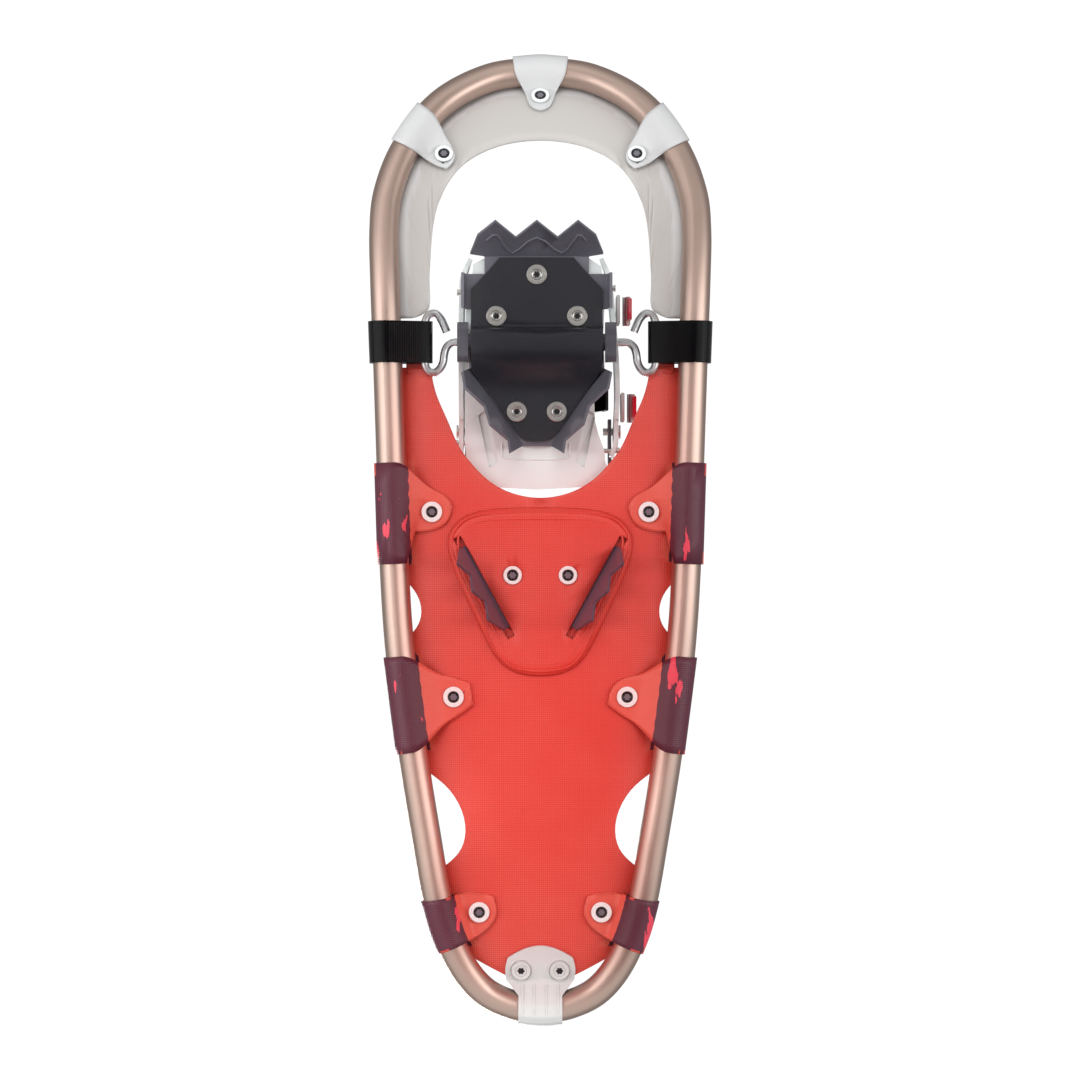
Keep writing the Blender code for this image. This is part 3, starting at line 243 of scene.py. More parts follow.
# %% Finish table
CORAL_TURNS = 520.0                     # diagonal turns of the deck's weave, per metre
FINISH_TABLE = {
    "bronze": dict(colour=(196, 172, 160), roughness=0.4, metallic=1.0, smudge=0.05, relief=0.15),
    "coral": dict(colour=(216, 52, 40), roughness=0.42, weave=CORAL_TURNS, relief=0.6, depth=0.12),
    "light_sheet": dict(colour=(199, 196, 193), roughness=0.46, weave=700.0, relief=0.1),
    "white_washer": dict(colour=(244, 250, 250), roughness=0.3, coat=0.3, relief=0.02),
    "plum_steel": dict(colour=(104, 82, 98), roughness=0.36, coat=0.3, relief=0.2),
    "light_plastic": dict(colour=(212, 214, 213), roughness=0.42, relief=0.2),
    "zinc": dict(colour=(236, 238, 240), roughness=0.22, metallic=1.0, smudge=0.1),
    "urethane": dict(colour=(5, 5, 8), roughness=0.12, coat=0.25, specular=0.2, relief=0.02),
    "smoke": dict(colour=(84, 82, 90), roughness=0.25, coat=0.6, relief=0.1),
    "steel": dict(colour=(112, 110, 120), roughness=0.36, coat=0.5, relief=0.3),
    "rubber": dict(colour=(36, 36, 43), roughness=0.36, coat=0.4, relief=0.8, depth=0.08),
    "nickel": dict(colour=(224, 221, 215), roughness=0.3, metallic=0.9, smudge=0.1),
    "red": dict(colour=(205, 28, 54), roughness=0.22, coat=0.7, relief=0.05),
    # painted light: a lighter, cooler copy of light_plastic, for the footbed, wings and heel pad
    "cool_plastic": dict(colour=(230, 236, 235), roughness=0.42, relief=0.2),
    "rib_gloss": dict(colour=(16, 16, 19), roughness=0.14, coat=1.0, relief=0.02),
    # painted shade: near black for the hollow of a rivet
    "socket_black": dict(colour=(24, 23, 26), roughness=0.35, relief=0.1),
}
FINISHES = {name: finish(name, **values) for name, values in FINISH_TABLE.items()}
print(len(FINISHES), "finishes")

# %% [markdown]
# ## The shape of the frame
# The two ends of the tube turn up on large radii and the middle is flat. These are the same
# curves that the CAD uses, so that a smooth tube can be swept in place of the CAD's ten-sided one.

# %% Upturned ends
NOSE_START, NOSE_RADIUS = 144.0, 270.0
TAIL_START, TAIL_RADIUS = -215.0, 350.0
TUBE_Z, TUBE_R = 22.0, 9.525
DATUM = Vector((0.0, -2.9, -0.2))       # the frame's datum in the row frame, in mm


def upturn(y):
    """How far y is past the flat middle, and the radius of the bend there."""
    if y > NOSE_START:
        return y - NOSE_START, NOSE_RADIUS
    if y < TAIL_START:
        return y - TAIL_START, TAIL_RADIUS
    return 0.0, NOSE_RADIUS


def rise(y):
    """Height in mm that the frame gains at y."""
    past, radius = upturn(y)
    return radius - math.sqrt(radius ** 2 - past ** 2)


def slope(y):
    """Angle of the upturn at y."""
    past, radius = upturn(y)
    return math.asin(past / radius)


def placed(x, y, z):
    """A point in the row frame, in metres, from one in mm about the frame's datum."""
    return (Vector((x, y, z)) + DATUM) * MM


print("the nose rises", round(rise(311.5), 1), "mm and the tail", round(rise(-305.5), 1), "mm")

# %% [markdown]
# A tube bender only knows a few bend points, and the metal runs smoothly between them. A curve
# that passes through each of its points behaves in the same way, so the outline needs few.

# %% Smooth outline
FRAME_SIDE = [(0, 311.5), (34, 306), (66, 287), (88, 256), (99, 226), (101.5, 200), (100.6, 164),
              (98.6, 110), (96.6, 50), (94.4, -20), (90.6, -75), (83, -135), (74.2, -190),
              (65.5, -238), (54, -271), (38, -293), (18, -303.5), (0, -305.5)]


def curve_through(points, steps, closed=False):
    """Catmull-Rom curve through the points."""
    p = [Vector(q) for q in points]
    n = len(p)
    if not closed:
        p = [p[0] * 2 - p[1]] + p + [p[-1] * 2 - p[-2]]
    path = []
    for i in range(n if closed else n - 1):
        a, b, c, d = (p[(i - 1 + k) % n] for k in range(4)) if closed else p[i:i + 4]
        for k in range(steps):
            t = k / steps
            path.append(0.5 * (2 * b + (c - a) * t + (2 * a - 5 * b + 4 * c - d) * t * t
                               + (3 * b - a - 3 * c + d) * t ** 3))
    if not closed:
        path.append(p[-2])
    return path


def flat_points(pairs):
    """Points in the plane of the deck, from (x, y) pairs."""
    return [Vector((x, y, 0)) for x, y in pairs]


SIDE = curve_through(flat_points(FRAME_SIDE), 8)
print("one side of the outline:", len(SIDE), "points")

# %% [markdown]
# The decks, the printed bands and the deck's legs are all placed by how far they are from the
# tube, so that distance is measured once here.

# %% Distance to the tube
STRAP_Y = 126.9                         # the line across the frame where the rod hangs


def frame_x(y):
    """Half width of the tube's centre line at y, in mm."""
    for a, b in zip(SIDE, SIDE[1:]):
        if b.y <= y <= a.y:
            return a.x + (b.x - a.x) * (a.y - y) / max(a.y - b.y, 1e-6)
    return 0.0


def off_tube(x, y):
    """Distance in mm from (x, y) to the tube's centre line in plan."""
    return min((Vector((abs(x), y, 0)) - p).length for p in SIDE)


print("half width at the straps:", round(frame_x(STRAP_Y), 1), "mm")

# %% [markdown]
# ## Pieces
# A piece made here stands in for one or more CAD nodes, and takes their place, their body and
# their material slot. A small detail stands in for none, and only rides on a body.

# %% Piece helpers


def mesh_from(bm, name):
    """A mesh of that name from an editing mesh, which is then freed."""
    mesh = bpy.data.meshes.new(name)
    bm.to_mesh(mesh)
    bm.free()
    return mesh


def piece(name, mesh, material, *stands_for, body=None, sharp=35):
    """A visual object that replaces CAD nodes, or rides on a body beside them."""
    for polygon in mesh.polygons:
        polygon.use_smooth = True
    mesh.set_sharp_from_angle(angle=math.radians(sharp))
    obj = bpy.data.objects.new(name, mesh)
    bpy.context.collection.objects.link(obj)
    mesh.materials.clear()
    mesh.materials.append(FINISHES[material])
    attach(obj, body or body_of[stands_for[0]])
    if stands_for:
        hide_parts(*stands_for)
    return obj


# %% [markdown]
# ## Frame tube
# One length of three-quarter-inch aluminium tube is bent to a teardrop and its ends meet under
# the tail clip. Sweeping a circle along the bend line gives the seamless look of drawn tube.

# %% Tube


def turns(count):
    """Equally spaced angles round one turn."""
    return [2 * math.pi * k / count for k in range(count)]


def swept(name, path, radius, sides, closed=False):
    """A mesh tube of circles along a path; the path and the radius are in metres."""
    bm = bmesh.new()
    count = len(path)
    side = None
    rings = []
    for i, p in enumerate(path):
        before = path[i - 1] if i or closed else path[0]
        after = path[(i + 1) % count] if i < count - 1 or closed else path[-1]
        tangent = (after - before).normalized()
        side = tangent.cross(UP).normalized() if side is None else side
        side = (side - tangent * side.dot(tangent)).normalized()
        up = tangent.cross(side)
        rings.append([bm.verts.new(p + (side * math.cos(a) + up * math.sin(a)) * radius)
                      for a in turns(sides)])
    for a, b in zip(rings, rings[1:] + (rings[:1] if closed else [])):
        for k in range(sides):
            bm.faces.new((a[k], a[k - 1], b[k - 1], b[k]))
    if not closed:
        bm.faces.new(rings[0])
        bm.faces.new(rings[-1][::-1])
    bmesh.ops.recalc_face_normals(bm, faces=bm.faces)
    return mesh_from(bm, name)


loop = SIDE + [Vector((-p.x, p.y, 0)) for p in reversed(SIDE[1:-1])]
loop = [placed(p.x, p.y, TUBE_Z + rise(p.y)) for p in loop]
piece("frame_tube_swept", swept("frame_tube_swept", loop, TUBE_R * MM, 40, closed=True),
      "bronze", "frame_tube")
print("tube points:", len(loop))

# %% [markdown]
# Most of the CAD's solids already have the right shape in large flat facets. Joining the facets
# into quads and subdividing them gives smooth surfaces, and creases hold the real corners.

# %% Refined copy
WELD = 2e-6                             # metres within which two CAD points are one


def refined(node, level=2, crease=30, flat=14, square=70):
    """A smooth, finer copy of a CAD node's mesh: quads again, sharp edges kept."""
    bm = bmesh.new()
    bm.from_mesh(nodes[node].data)
    bmesh.ops.remove_doubles(bm, verts=bm.verts, dist=WELD)
    bmesh.ops.join_triangles(bm, faces=bm.faces, cmp_seam=False, cmp_sharp=False,
                             cmp_uvs=False, cmp_vcols=False, cmp_materials=False,
                             angle_face_threshold=math.radians(flat),
                             angle_shape_threshold=math.radians(square))
    layer = bm.edges.layers.float.new("crease_edge")
    for edge in bm.edges:
        if edge.is_manifold and edge.calc_face_angle(0.0) > math.radians(crease):
            edge[layer] = 1.0
    base = mesh_from(bm, node + "_base")
    holder = bpy.data.objects.new(node + "_holder", base)
    bpy.context.collection.objects.link(holder)
    if level:
        holder.modifiers.new("smooth", "SUBSURF").levels = level
    bpy.context.view_layer.update()
    shown = holder.evaluated_get(bpy.context.evaluated_depsgraph_get())
    mesh = bpy.data.meshes.new_from_object(shown)
    bpy.data.objects.remove(holder)
    bpy.data.meshes.remove(base)
    return mesh


piece("splice_sleeve", refined("frame_splice_sleeve"), "bronze", "frame_splice_sleeve")
print("splice sleeve refined")

# %% [markdown]
# ## Decks
# Each deck is cut from coated cloth. Its tabs fold round the tube and are riveted back to the
# sheet. The print and the smoothing both need to know where the cloth is a folded-back tab, so
# each point stores that, with its distance from the tube. A ray cast upwards finds the fold,
# because it meets the cloth again.

# %% Marking the cloth
TAB_SPANS = [(49, -16.5), (-76, -138), (-233, -265)]     # where the deck's tabs wrap the tube
RAY_STEP, RAY_REACH = 0.1, 12           # mm past each hit, and mm that a ray looks ahead
FOLD_HITS = 2                           # layers of cloth above a point that show a fold
WRAP_EDGE = 9.9                         # mm from the tube's middle, where cloth hugs the tube
HUG_MARGIN, BESIDE_MARGIN = 1.0, -0.5   # how much wider a span is read there, and beside it
TAB_REACH = 15                          # mm from the tube's middle, where a tab still wraps


def bvh_of(bm):
    """A search tree of a mesh's faces, for casting rays."""
    return BVHTree.FromBMesh(bm)


def layers_above(tree, point):
    """Surfaces met by a ray going up from the point, as far as the count that shows a fold."""
    hits, start = 0, point + UP * (RAY_STEP * MM)
    while hits < FOLD_HITS:
        found = tree.ray_cast(start, UP, RAY_REACH * MM)[0]
        if found is None:
            break
        hits += 1
        start = found + UP * (RAY_STEP * MM)
    return hits


def mark_sheet(mesh):
    """Stores the distance to the tube, and which parts are a folded-back tab."""
    bm = bmesh.new()
    bm.from_mesh(mesh)
    tree = bvh_of(bm)
    off = mesh.attributes.new("off_tube", "FLOAT", "POINT")
    tab = mesh.attributes.new("tab", "FLOAT", "POINT")
    for i, vert in enumerate(bm.verts):
        local = vert.co / MM - DATUM
        off.data[i].value = off_tube(local.x, local.y)
        margin = HUG_MARGIN if off.data[i].value < WRAP_EDGE else BESIDE_MARGIN
        wraps = local.y > NOSE_START or any(low - margin <= local.y <= high + margin
                                            for high, low in TAB_SPANS)
        folded = layers_above(tree, vert.co) >= FOLD_HITS
        tab.data[i].value = 1.0 if folded or (off.data[i].value < TAB_REACH and wraps) else 0.0
    bm.free()


print("tabs wrap the tube over", len(TAB_SPANS), "spans a side")

# %% [markdown]
# The facets of the CAD leave faint creases across the toe deck, which stretched cloth wouldn't
# show. Each point of the open cloth moves onto the plane that best fits its neighbours.

# %% Easing the cloth
FIT_FROM, MOVE_FROM = 11.5, 12.5        # mm from the tube's middle: points used, points moved
LEVEL_NORMAL = 0.6                      # upright share of a normal on cloth that lies level
FEWEST = 6                              # neighbours that a plane needs


def ease_cloth(mesh, reach=10.0):
    """Lays each point of the open cloth on the plane that best fits its neighbours."""
    points = np.array([v.co for v in mesh.vertices])
    faces_up = np.array([v.normal.z > 0 for v in mesh.vertices])
    off = np.array([d.value for d in mesh.attributes["off_tube"].data])
    single = np.array([d.value < 0.5 for d in mesh.attributes["tab"].data])
    level = np.array([abs(v.normal.z) > LEVEL_NORMAL for v in mesh.vertices])
    for side in (True, False):
        chosen = np.where((faces_up == side) & single & (off > FIT_FROM) & level)[0]
        near = KDTree(len(chosen))
        for i in chosen:
            near.insert(points[i], int(i))
        near.balance()
        for i in chosen:
            found = [k for _, k, _ in near.find_range(points[i], reach * MM)]
            if off[i] < MOVE_FROM or len(found) < FEWEST:
                continue
            flat = points[found] - points[i]
            fit = np.linalg.lstsq(np.c_[flat[:, :2], np.ones(len(found))], flat[:, 2],
                                  rcond=None)[0]
            mesh.vertices[int(i)].co.z = points[i][2] + fit[2]


CLOTH = dict(crease=60, square=180)     # cloth keeps only its cut edges sharp
deck_mesh = refined("main_deck", flat=50, **CLOTH)
mark_sheet(deck_mesh)
main_deck = piece("main_deck_cloth", deck_mesh, "coral", "main_deck", sharp=50)
toe_mesh = refined("toe_deck", flat=50, **CLOTH)
mark_sheet(toe_mesh)
ease_cloth(toe_mesh)
toe_deck = piece("toe_deck_cloth", toe_mesh, "light_sheet", "toe_deck", sharp=50)
patch = piece("heel_patch_moulded", refined("heel_patch", level=1, flat=8, **CLOTH), "coral",
              "heel_patch", sharp=50)
for deck in (main_deck, toe_deck, patch):
    print(deck.name, len(deck.data.vertices), "points")

# %% [markdown]
# The crowns of the coated yarns are painted a little lighter than the gaps, as a painted sheen.
# The weave group gives the crowns, and a broad noise makes some areas lighter than others, as
# patches of painted sheen.

# %% Painted yarn sheen
SHEEN_PATCH_SCALE = 14.0                       # noise scale of the lighter and darker areas


def tint(material, factor, tone):
    """Blends what already feeds the Base Color towards a tone."""
    tree = material.node_tree
    base = tree.nodes["Principled BSDF"].inputs["Base Color"]
    before = base.links[0].from_socket if base.is_linked else tuple(base.default_value)
    tree.links.new(mixed(tree, factor, before, tone), base)


def add_painted_yarn_sheen(material, tone, strength):
    """Paints a sheen on the crowns of the yarns, stronger in some broad areas than in others."""
    tree = material.node_tree
    yarns = use_group(tree, WEAVE, {"Turns per metre": CORAL_TURNS})
    crown = maths(tree, "MULTIPLY_ADD", yarns.outputs["Height"], 0.5, 0.5)
    broad = maths(tree, "MULTIPLY", noise(tree, own_coords(tree), SHEEN_PATCH_SCALE), strength)
    tint(material, maths(tree, "MULTIPLY", crown, broad), srgb(*tone))


# Painted sheen: a lighter coral on the crowns of the yarns, in broad patches.
add_painted_yarn_sheen(FINISHES["coral"], (240, 136, 122), 0.75)
print("coral has", len(FINISHES["coral"].node_tree.nodes), "nodes")

# %% [markdown]
# The cloth is printed before it is cut: plum where the tabs wrap the tube, with a few torn pink
# strokes. The toe deck's own tabs are a lighter grey than its sheet. The stored distance makes
# the edge of the print run parallel to the tube.

# %% Print
PRINT_EDGE = 11.5                       # mm from the tube's middle to the edge of the print
STROKE_SCALE, STROKE_TURN = (70, 16, 1), (0, 0, 0.35)
STROKE_LEVEL = 0.63                     # noise above this is a stroke


def stored(tree, name):
    """A value that the mesh stores at each point."""
    node = tree.nodes.new("ShaderNodeAttribute")
    node.attribute_name = name
    return node.outputs["Fac"]


def add_tab_tone(material, tone, strength=1.0):
    """Colours what is a folded-back tab."""
    tree = material.node_tree
    tint(material, maths(tree, "MULTIPLY", stored(tree, "tab"), strength), srgb(*tone))


def add_print(material, band, accent, edge):
    """Colours the tabs within edge mm of the tube's middle, with torn strokes of the accent."""
    tree = material.node_tree
    near = maths(tree, "LESS_THAN", stored(tree, "off_tube"), edge)
    mask = maths(tree, "MULTIPLY", near, maths(tree, "GREATER_THAN", stored(tree, "tab"), 0.5))
    stretch = tree.nodes.new("ShaderNodeMapping")
    stretch.inputs["Scale"].default_value = STROKE_SCALE
    stretch.inputs["Rotation"].default_value = STROKE_TURN
    tree.links.new(own_coords(tree), stretch.inputs["Vector"])
    torn = noise(tree, stretch.outputs[0], scale=1.0, detail=6.0)
    strokes = maths(tree, "GREATER_THAN", torn, STROKE_LEVEL)
    tint(material, mask, mixed(tree, strokes, srgb(*band), srgb(*accent)))


printed = FINISHES["coral"].copy()
printed.name = "coral_print"
add_tab_tone(printed, (234, 112, 94), 0.55)
add_print(printed, (92, 38, 56), (238, 70, 92), PRINT_EDGE)
main_deck.data.materials[0] = printed
add_tab_tone(FINISHES["light_sheet"], (213, 214, 215))
print("print edge", PRINT_EDGE, "mm from the tube's middle")

# %% [markdown]
# ## Rivets and washers
# A rivet is a turned part, so its outline is spun round its axis. The mouth of a rolled
# rivet is a short rod with a lobed outline. The dark colour in the hole is painted shade.

# %% Turned parts
STAR_POINTS, STAR_LOBES, STAR_DENT = 48, 6, 0.12


def round_solid(name, rings, centre, axis, spin):
    """A closed solid through rings of (x, y, height) points in mm, stood on the axis."""
    turn = UP.rotation_difference(axis).to_matrix()
    bm = bmesh.new()
    loops = [[bm.verts.new(centre + turn @ Vector(p) * MM) for p in ring] for ring in rings]
    for a, b in zip(loops, loops[1:]):
        for k in range(len(a)):
            bm.faces.new((a[k - 1], a[k], b[k], b[k - 1]))
    bm.faces.new(loops[0][::-1])
    bm.faces.new(loops[-1])
    if spin:
        bmesh.ops.recalc_face_normals(bm, faces=bm.faces)
    return mesh_from(bm, name)


def lathe(name, profile, centre, axis, sides=40):
    """A closed solid of revolution; the profile is (radius, height) pairs in mm."""
    rings = [[(r * math.cos(a), r * math.sin(a), h) for a in turns(sides)] for r, h in profile]
    return round_solid(name, rings, centre, axis, spin=True)


def star(name, centre, axis, radius, low, high):
    """A short rod with a lobed outline, as in the mouth of a rolled rivet."""
    rings = []
    for height in (low, high):
        ring = []
        for a in turns(STAR_POINTS):
            r = radius * (1 - STAR_DENT + STAR_DENT * math.cos(STAR_LOBES * a))
            ring.append((r * math.cos(a), r * math.sin(a), height))
        rings.append(ring)
    return round_solid(name, rings, centre, axis, spin=False)


print("a star mouth has", STAR_LOBES, "lobes")

# %% [markdown]
# Hollow rivets hold the tabs: a white painted washer outside, and a rolled barrel in its
# middle, painted near black as the shade in its hole. The crampon rivets are nickel plated, with
# a turned ring, and their mouths are painted near black as shade. Each one is turned on the axis
# of the CAD rivet that it replaces, which leans with the upturn of the deck.

# %% Rivets
DECK_HEAD, SMALL_HEAD, CRAMPON_HEAD, TAIL_HEAD = 6.75, 6.05, 6.65, 6.2     # radii in mm
MOUTH, CRAMPON_MOUTH = 3.7, 3.4
SHANK = 2.9
POINT = 0.02                            # radius of a profile's first and last ring


def extent(node, axis):
    """Centre of a CAD rivet in metres, and its lowest and highest point along its axis in mm."""
    points = [v.co for v in nodes[node].data.vertices]
    box = [Vector([f(p[i] for p in points) for i in range(3)]) for f in (min, max)]
    centre = (box[0] + box[1]) / 2
    heights = [(p - centre).dot(axis) / MM for p in points]
    return centre, min(heights), max(heights)


def head_profile(head, mouth, low, high):
    """Outline of a rivet from its washer below to its cap above."""
    cap = head * 0.8
    return [(POINT, low + 1.0), (mouth, low + 1.0), (mouth + 0.1, low + 0.25),
            (mouth + 0.4, low + 0.02), (head * 0.74, low), (head * 0.76, low + 0.15),
            (head * 0.8, low + 0.15), (head * 0.82, low + 0.02), (head - 0.45, low + 0.05),
            (head - 0.1, low + 0.35), (head, low + 0.8), (head - 0.1, low + 1.15),
            (SHANK, low + 1.2), (SHANK, high - 1.2), (cap, high - 1.15), (cap, high - 0.5),
            (cap - 0.5, high - 0.05), (POINT, high)]


def barrel_profile(mouth, low):
    """Outline of the rolled barrel inside the washer."""
    return [(POINT, low + 0.55), (mouth - 1.3, low + 0.5), (mouth - 1.0, low + 0.2),
            (mouth - 0.5, low + 0.1), (mouth - 0.1, low + 0.3), (mouth - 0.1, low + 0.95),
            (POINT, low + 0.95)]


def dress_rivet(node, head, finish_name, mouth):
    """A washer-headed rivet with a barrel and a star mouth, in place of a CAD rivet."""
    y = nodes[node].data.vertices[0].co.y / MM - DATUM.y
    axis = Vector((0, -math.sin(slope(y)), math.cos(slope(y))))
    if node.startswith(("heel", "crampon")):
        axis = UP
    centre, low, high = extent(node, axis)
    washer = finish_name == "white_washer"
    piece(node + "_turned", lathe(node, head_profile(head, mouth, low, high), centre, axis),
          finish_name, node)
    # The washer rivet's barrel and the crampon rivet's mouth are near black: painted shade in the
    # hole.
    piece(node + "_barrel", lathe(node + "_b", barrel_profile(mouth, low), centre, axis),
          "socket_black" if washer else finish_name, body=body_of[node])
    piece(node + "_star", star(node + "_s", centre, axis, mouth - 1.35, low + 0.3, low + 0.6),
          "steel" if washer else "socket_black", body=body_of[node])


for node in sorted(nodes):
    if slot_of[node] == "white_washer":
        dress_rivet(node, DECK_HEAD if node.startswith("deck") else SMALL_HEAD, "white_washer",
                    MOUTH)
    elif node.startswith("crampon_rivet"):
        dress_rivet(node, CRAMPON_HEAD, "nickel", CRAMPON_MOUTH)
    elif node.startswith("tail_rivet"):
        dress_rivet(node, TAIL_HEAD, "light_plastic", MOUTH)
print("rivets dressed")

# %% [markdown]
# ## Rod, hooks and straps
# A plated steel rod crosses the binding. Each of its ends is bent into a hook, and the hook
# holds a moulded urethane strap that loops round the tube. The rod is swept like the tube, along
# one half of its route and the mirror of it.

# %% Rod and straps
ROD_R = 2.6
HOOK_ROUTE = [(46, STRAP_Y), (50, STRAP_Y), (54, STRAP_Y), (57.8, 126.2), (60.8, 123.4),
              (62.2, 119), (62.8, 114.5), (64.6, 110.2), (68, 107.4), (72, 108), (74.4, 112),
              (74.5, 118), (74.5, 126), (74.5, 134), (74.4, 140.5), (72, 144.8), (67.8, 145.4),
              (64.4, 142), (62.2, 137.6), (60.6, 133.6)]
half = [placed(x, y, TUBE_Z) for x, y in HOOK_ROUTE]
route = [Vector((-p.x, p.y, p.z)) for p in reversed(half)] + half
rod = piece("rod_bent", swept("rod_bent", curve_through(route, 4), ROD_R * MM, 20), "zinc",
            "axle_rod")
for side in ("left", "right"):
    piece("strap_loop_" + side, refined("strap_" + side), "urethane", "strap_" + side)
    piece("bush_sleeve_" + side, refined("bush_" + side), "smoke", "bush_" + side)
print("rod", len(rod.data.vertices), "points")

# %% [markdown]
# One strap has a ribbed grip. Its ribs are small rounded bars that sit on the strap's real
# surface, which a ray cast from below finds.

# %% Strap ribs
RIB_START, RIB_PITCH, RIB_COUNT = 79.6, 1.45, 13
RIB_SIZE, RIB_BEVEL = (0.8, 25, 1.0), 0.3
RAY_FLOOR = -30                         # height in mm that a ray from below starts at


def underside(node, x, y):
    """Height in mm of a CAD node's lowest surface at (x, y)."""
    bm = bmesh.new()
    bm.from_mesh(nodes[node].data)
    hit = bvh_of(bm).ray_cast(placed(x, y, RAY_FLOOR), UP)[0]
    bm.free()
    return hit.z / MM - DATUM.z


def boxes(name, places, size, bevel, material, body):
    """Small rounded bars at the given centres, in mm, as one piece."""
    bm = bmesh.new()
    for centre in places:
        made = bmesh.ops.create_cube(bm, size=1.0)["verts"]
        for vert in made:
            vert.co = placed(*(c + v * s for c, v, s in zip(centre, vert.co, size)))
    bmesh.ops.bevel(bm, geom=bm.edges, offset=bevel * MM, segments=2, affect="EDGES")
    return piece(name, mesh_from(bm, name), material, body=body)


ribs = [RIB_START + RIB_PITCH * k for k in range(RIB_COUNT)]
boxes("strap_ribs", [(x, STRAP_Y, underside("strap_right", x, STRAP_Y)) for x in ribs], RIB_SIZE,
      RIB_BEVEL, "rib_gloss", "frame")
print(len(ribs), "ribs on the strap")

# %% [markdown]
# ## Crampons, cover and binding
# The crampons are stamped from 2 mm steel, bent, and powder coated dark. Stamping leaves slightly
# rounded edges, which a narrow bevel gives. The moulded pieces of the binding get the same
# treatment. A rubber cover sheds snow from the toe crampon.

# %% Stamped and moulded pieces
EDGE_WIDTHS = {"footbed": 0.5, "heel_pad": 0.8, "footbed_pad": 0.6, "toe_strap": 0.5,
               "instep_strap": 0.5, "toe_buckle_base": 0.3, "instep_buckle_base": 0.3,
               "toe_lever": 0.5, "instep_lever": 0.5, "heel_strap": 0.4, "outer_wing": 0.4,
               "inner_wing": 0.4}
SUPPLE = ("toe_strap", "instep_strap", "heel_strap")
# These pieces get a lighter, cooler copy of the plastic: painted light, as if lit from above.
PAINTED_LIT = ("footbed", "outer_wing", "inner_wing", "heel_pad")
EDGE_ANGLE = 38                         # degrees between two faces that make an edge


def stamped(node, material, bevel=0.3, level=0):
    """A refined copy with narrow rounded edges."""
    obj = piece(node + "_made", refined(node, level), material, node,
                sharp=EDGE_ANGLE)
    edge = obj.modifiers.new("edges", "BEVEL")
    edge.width = bevel * MM
    edge.segments = 2
    edge.limit_method = "ANGLE"
    edge.angle_limit = math.radians(EDGE_ANGLE)
    edge.harden_normals = True
    return obj


stamped("toe_crampon", "steel")
stamped("heel_crampon", "plum_steel")
cover = piece("crampon_cover", refined("crampon_pad", level=3), "rubber", "crampon_pad")
for node, width in EDGE_WIDTHS.items():
    made = stamped(node, slot_of[node], width, 1 if node in SUPPLE else 0)
    if node in PAINTED_LIT:
        made.data.materials[0] = FINISHES["cool_plastic"]
piece("tail_clip_moulded", refined("tail_clip"), "light_plastic", "tail_clip")
print(len(EDGE_WIDTHS) + 2, "pieces with rounded edges")

# %% [markdown]
# What is left of the CAD is small hardware, such as pins and pivots. It is shown as it is, with
# the finish of its own material slot.

# %% Plain hardware
shown_nodes = [node for node in nodes.values() if not node.hide_render]
for node in shown_nodes:
    node.data.materials.clear()
    node.data.materials.append(FINISHES[slot_of[node.name]])
print("plain CAD nodes still shown:", [node.name for node in shown_nodes])

# %% [markdown]
# A zigzag is pressed into the lip behind the front teeth, which stiffens it. The ridge is laid
# on the lip's real surface. The rubber cover has a bowed dent where it bends over the rod.

# %% Pressed ridge and dent
ZIGZAG = [(34.5, 192.6), (28.0, 195.6), (18.3, 185.4), (2.4, 194.2), (-14.0, 185.4),
          (-24.3, 195.4), (-29.5, 192.4)]
RIDGE_R, RIDGE_SINK = 1.0, 0.3          # the ridge's radius, and how far its middle is sunk
DENT_X, DENT_Y = 2.3, 137.5             # middle of the dent
DENT_HALF, DENT_WIDTH, DENT_DEPTH = 20, 2.6, 2.4
BOW_DEPTH, BOW_LENGTH = 2.6, 14.0

ridge_path = [placed(x, y, underside("toe_crampon", x, y) + RIDGE_SINK) for x, y in ZIGZAG]
piece("crampon_ridge", swept("crampon_ridge", curve_through(ridge_path, 3), RIDGE_R * MM, 12),
      "steel", body="binding")
for vert in cover.data.vertices:
    local = vert.co / MM - DATUM
    bow = DENT_Y - BOW_DEPTH * math.cos(local.x / BOW_LENGTH)
    dent = math.exp(-((local.x - DENT_X) / DENT_HALF) ** 4 - ((local.y - bow) / DENT_WIDTH) ** 2)
    vert.co.z += DENT_DEPTH * dent * MM
print("ridge over", len(ridge_path), "corners")

# %% [markdown]
# The tail clip is moulded with ribs where it grips the tube and a raised rim round each of its
# rivets. The footbed has a stiffening frame. Rounded beads laid on the real surface give both.

# %% Moulded ribs
CLIP_RIBS = (-11.5, -4.0, 4.0, 11.5)
CLIP_RIB_START, CLIP_RIB_STEP, CLIP_RIB_POINTS = -290.0, 1.5, 13
RIM_X, RIM_Y, RIM_RADIUS = 12.5, -280.5, 7.3
RIB_R, RIM_R, FRAME_R, RIB_SINK = 0.9, 0.7, 0.8, 0.2
FOOTBED_FRAME = [(25, 62), (24.6, 56), (23, 52), (3, 51.4), (-17, 52), (-18.6, 56), (-19, 62)]


def surface_bead(name, node, points, radius, material, body, closed=False):
    """A half-sunk bead on the underside of a node, through (x, y) points in mm."""
    path = [placed(x, y, underside(node, x, y) + RIB_SINK) for x, y in points]
    return piece(name, swept(name, path, radius * MM, 12, closed), material, body=body)


for k, x in enumerate(CLIP_RIBS):
    line = [(x, CLIP_RIB_START - CLIP_RIB_STEP * i) for i in range(CLIP_RIB_POINTS)]
    surface_bead(f"clip_rib_{k}", "tail_clip", line, RIB_R, "light_plastic", "frame")
for side, name in ((-1, "left"), (1, "right")):
    rim = [(side * RIM_X + RIM_RADIUS * math.cos(a), RIM_Y + RIM_RADIUS * math.sin(a))
           for a in turns(32)]
    surface_bead("clip_rim_" + name, "tail_clip", rim, RIM_R, "light_plastic", "frame", True)
frame_line = curve_through(flat_points(FOOTBED_FRAME), 4)
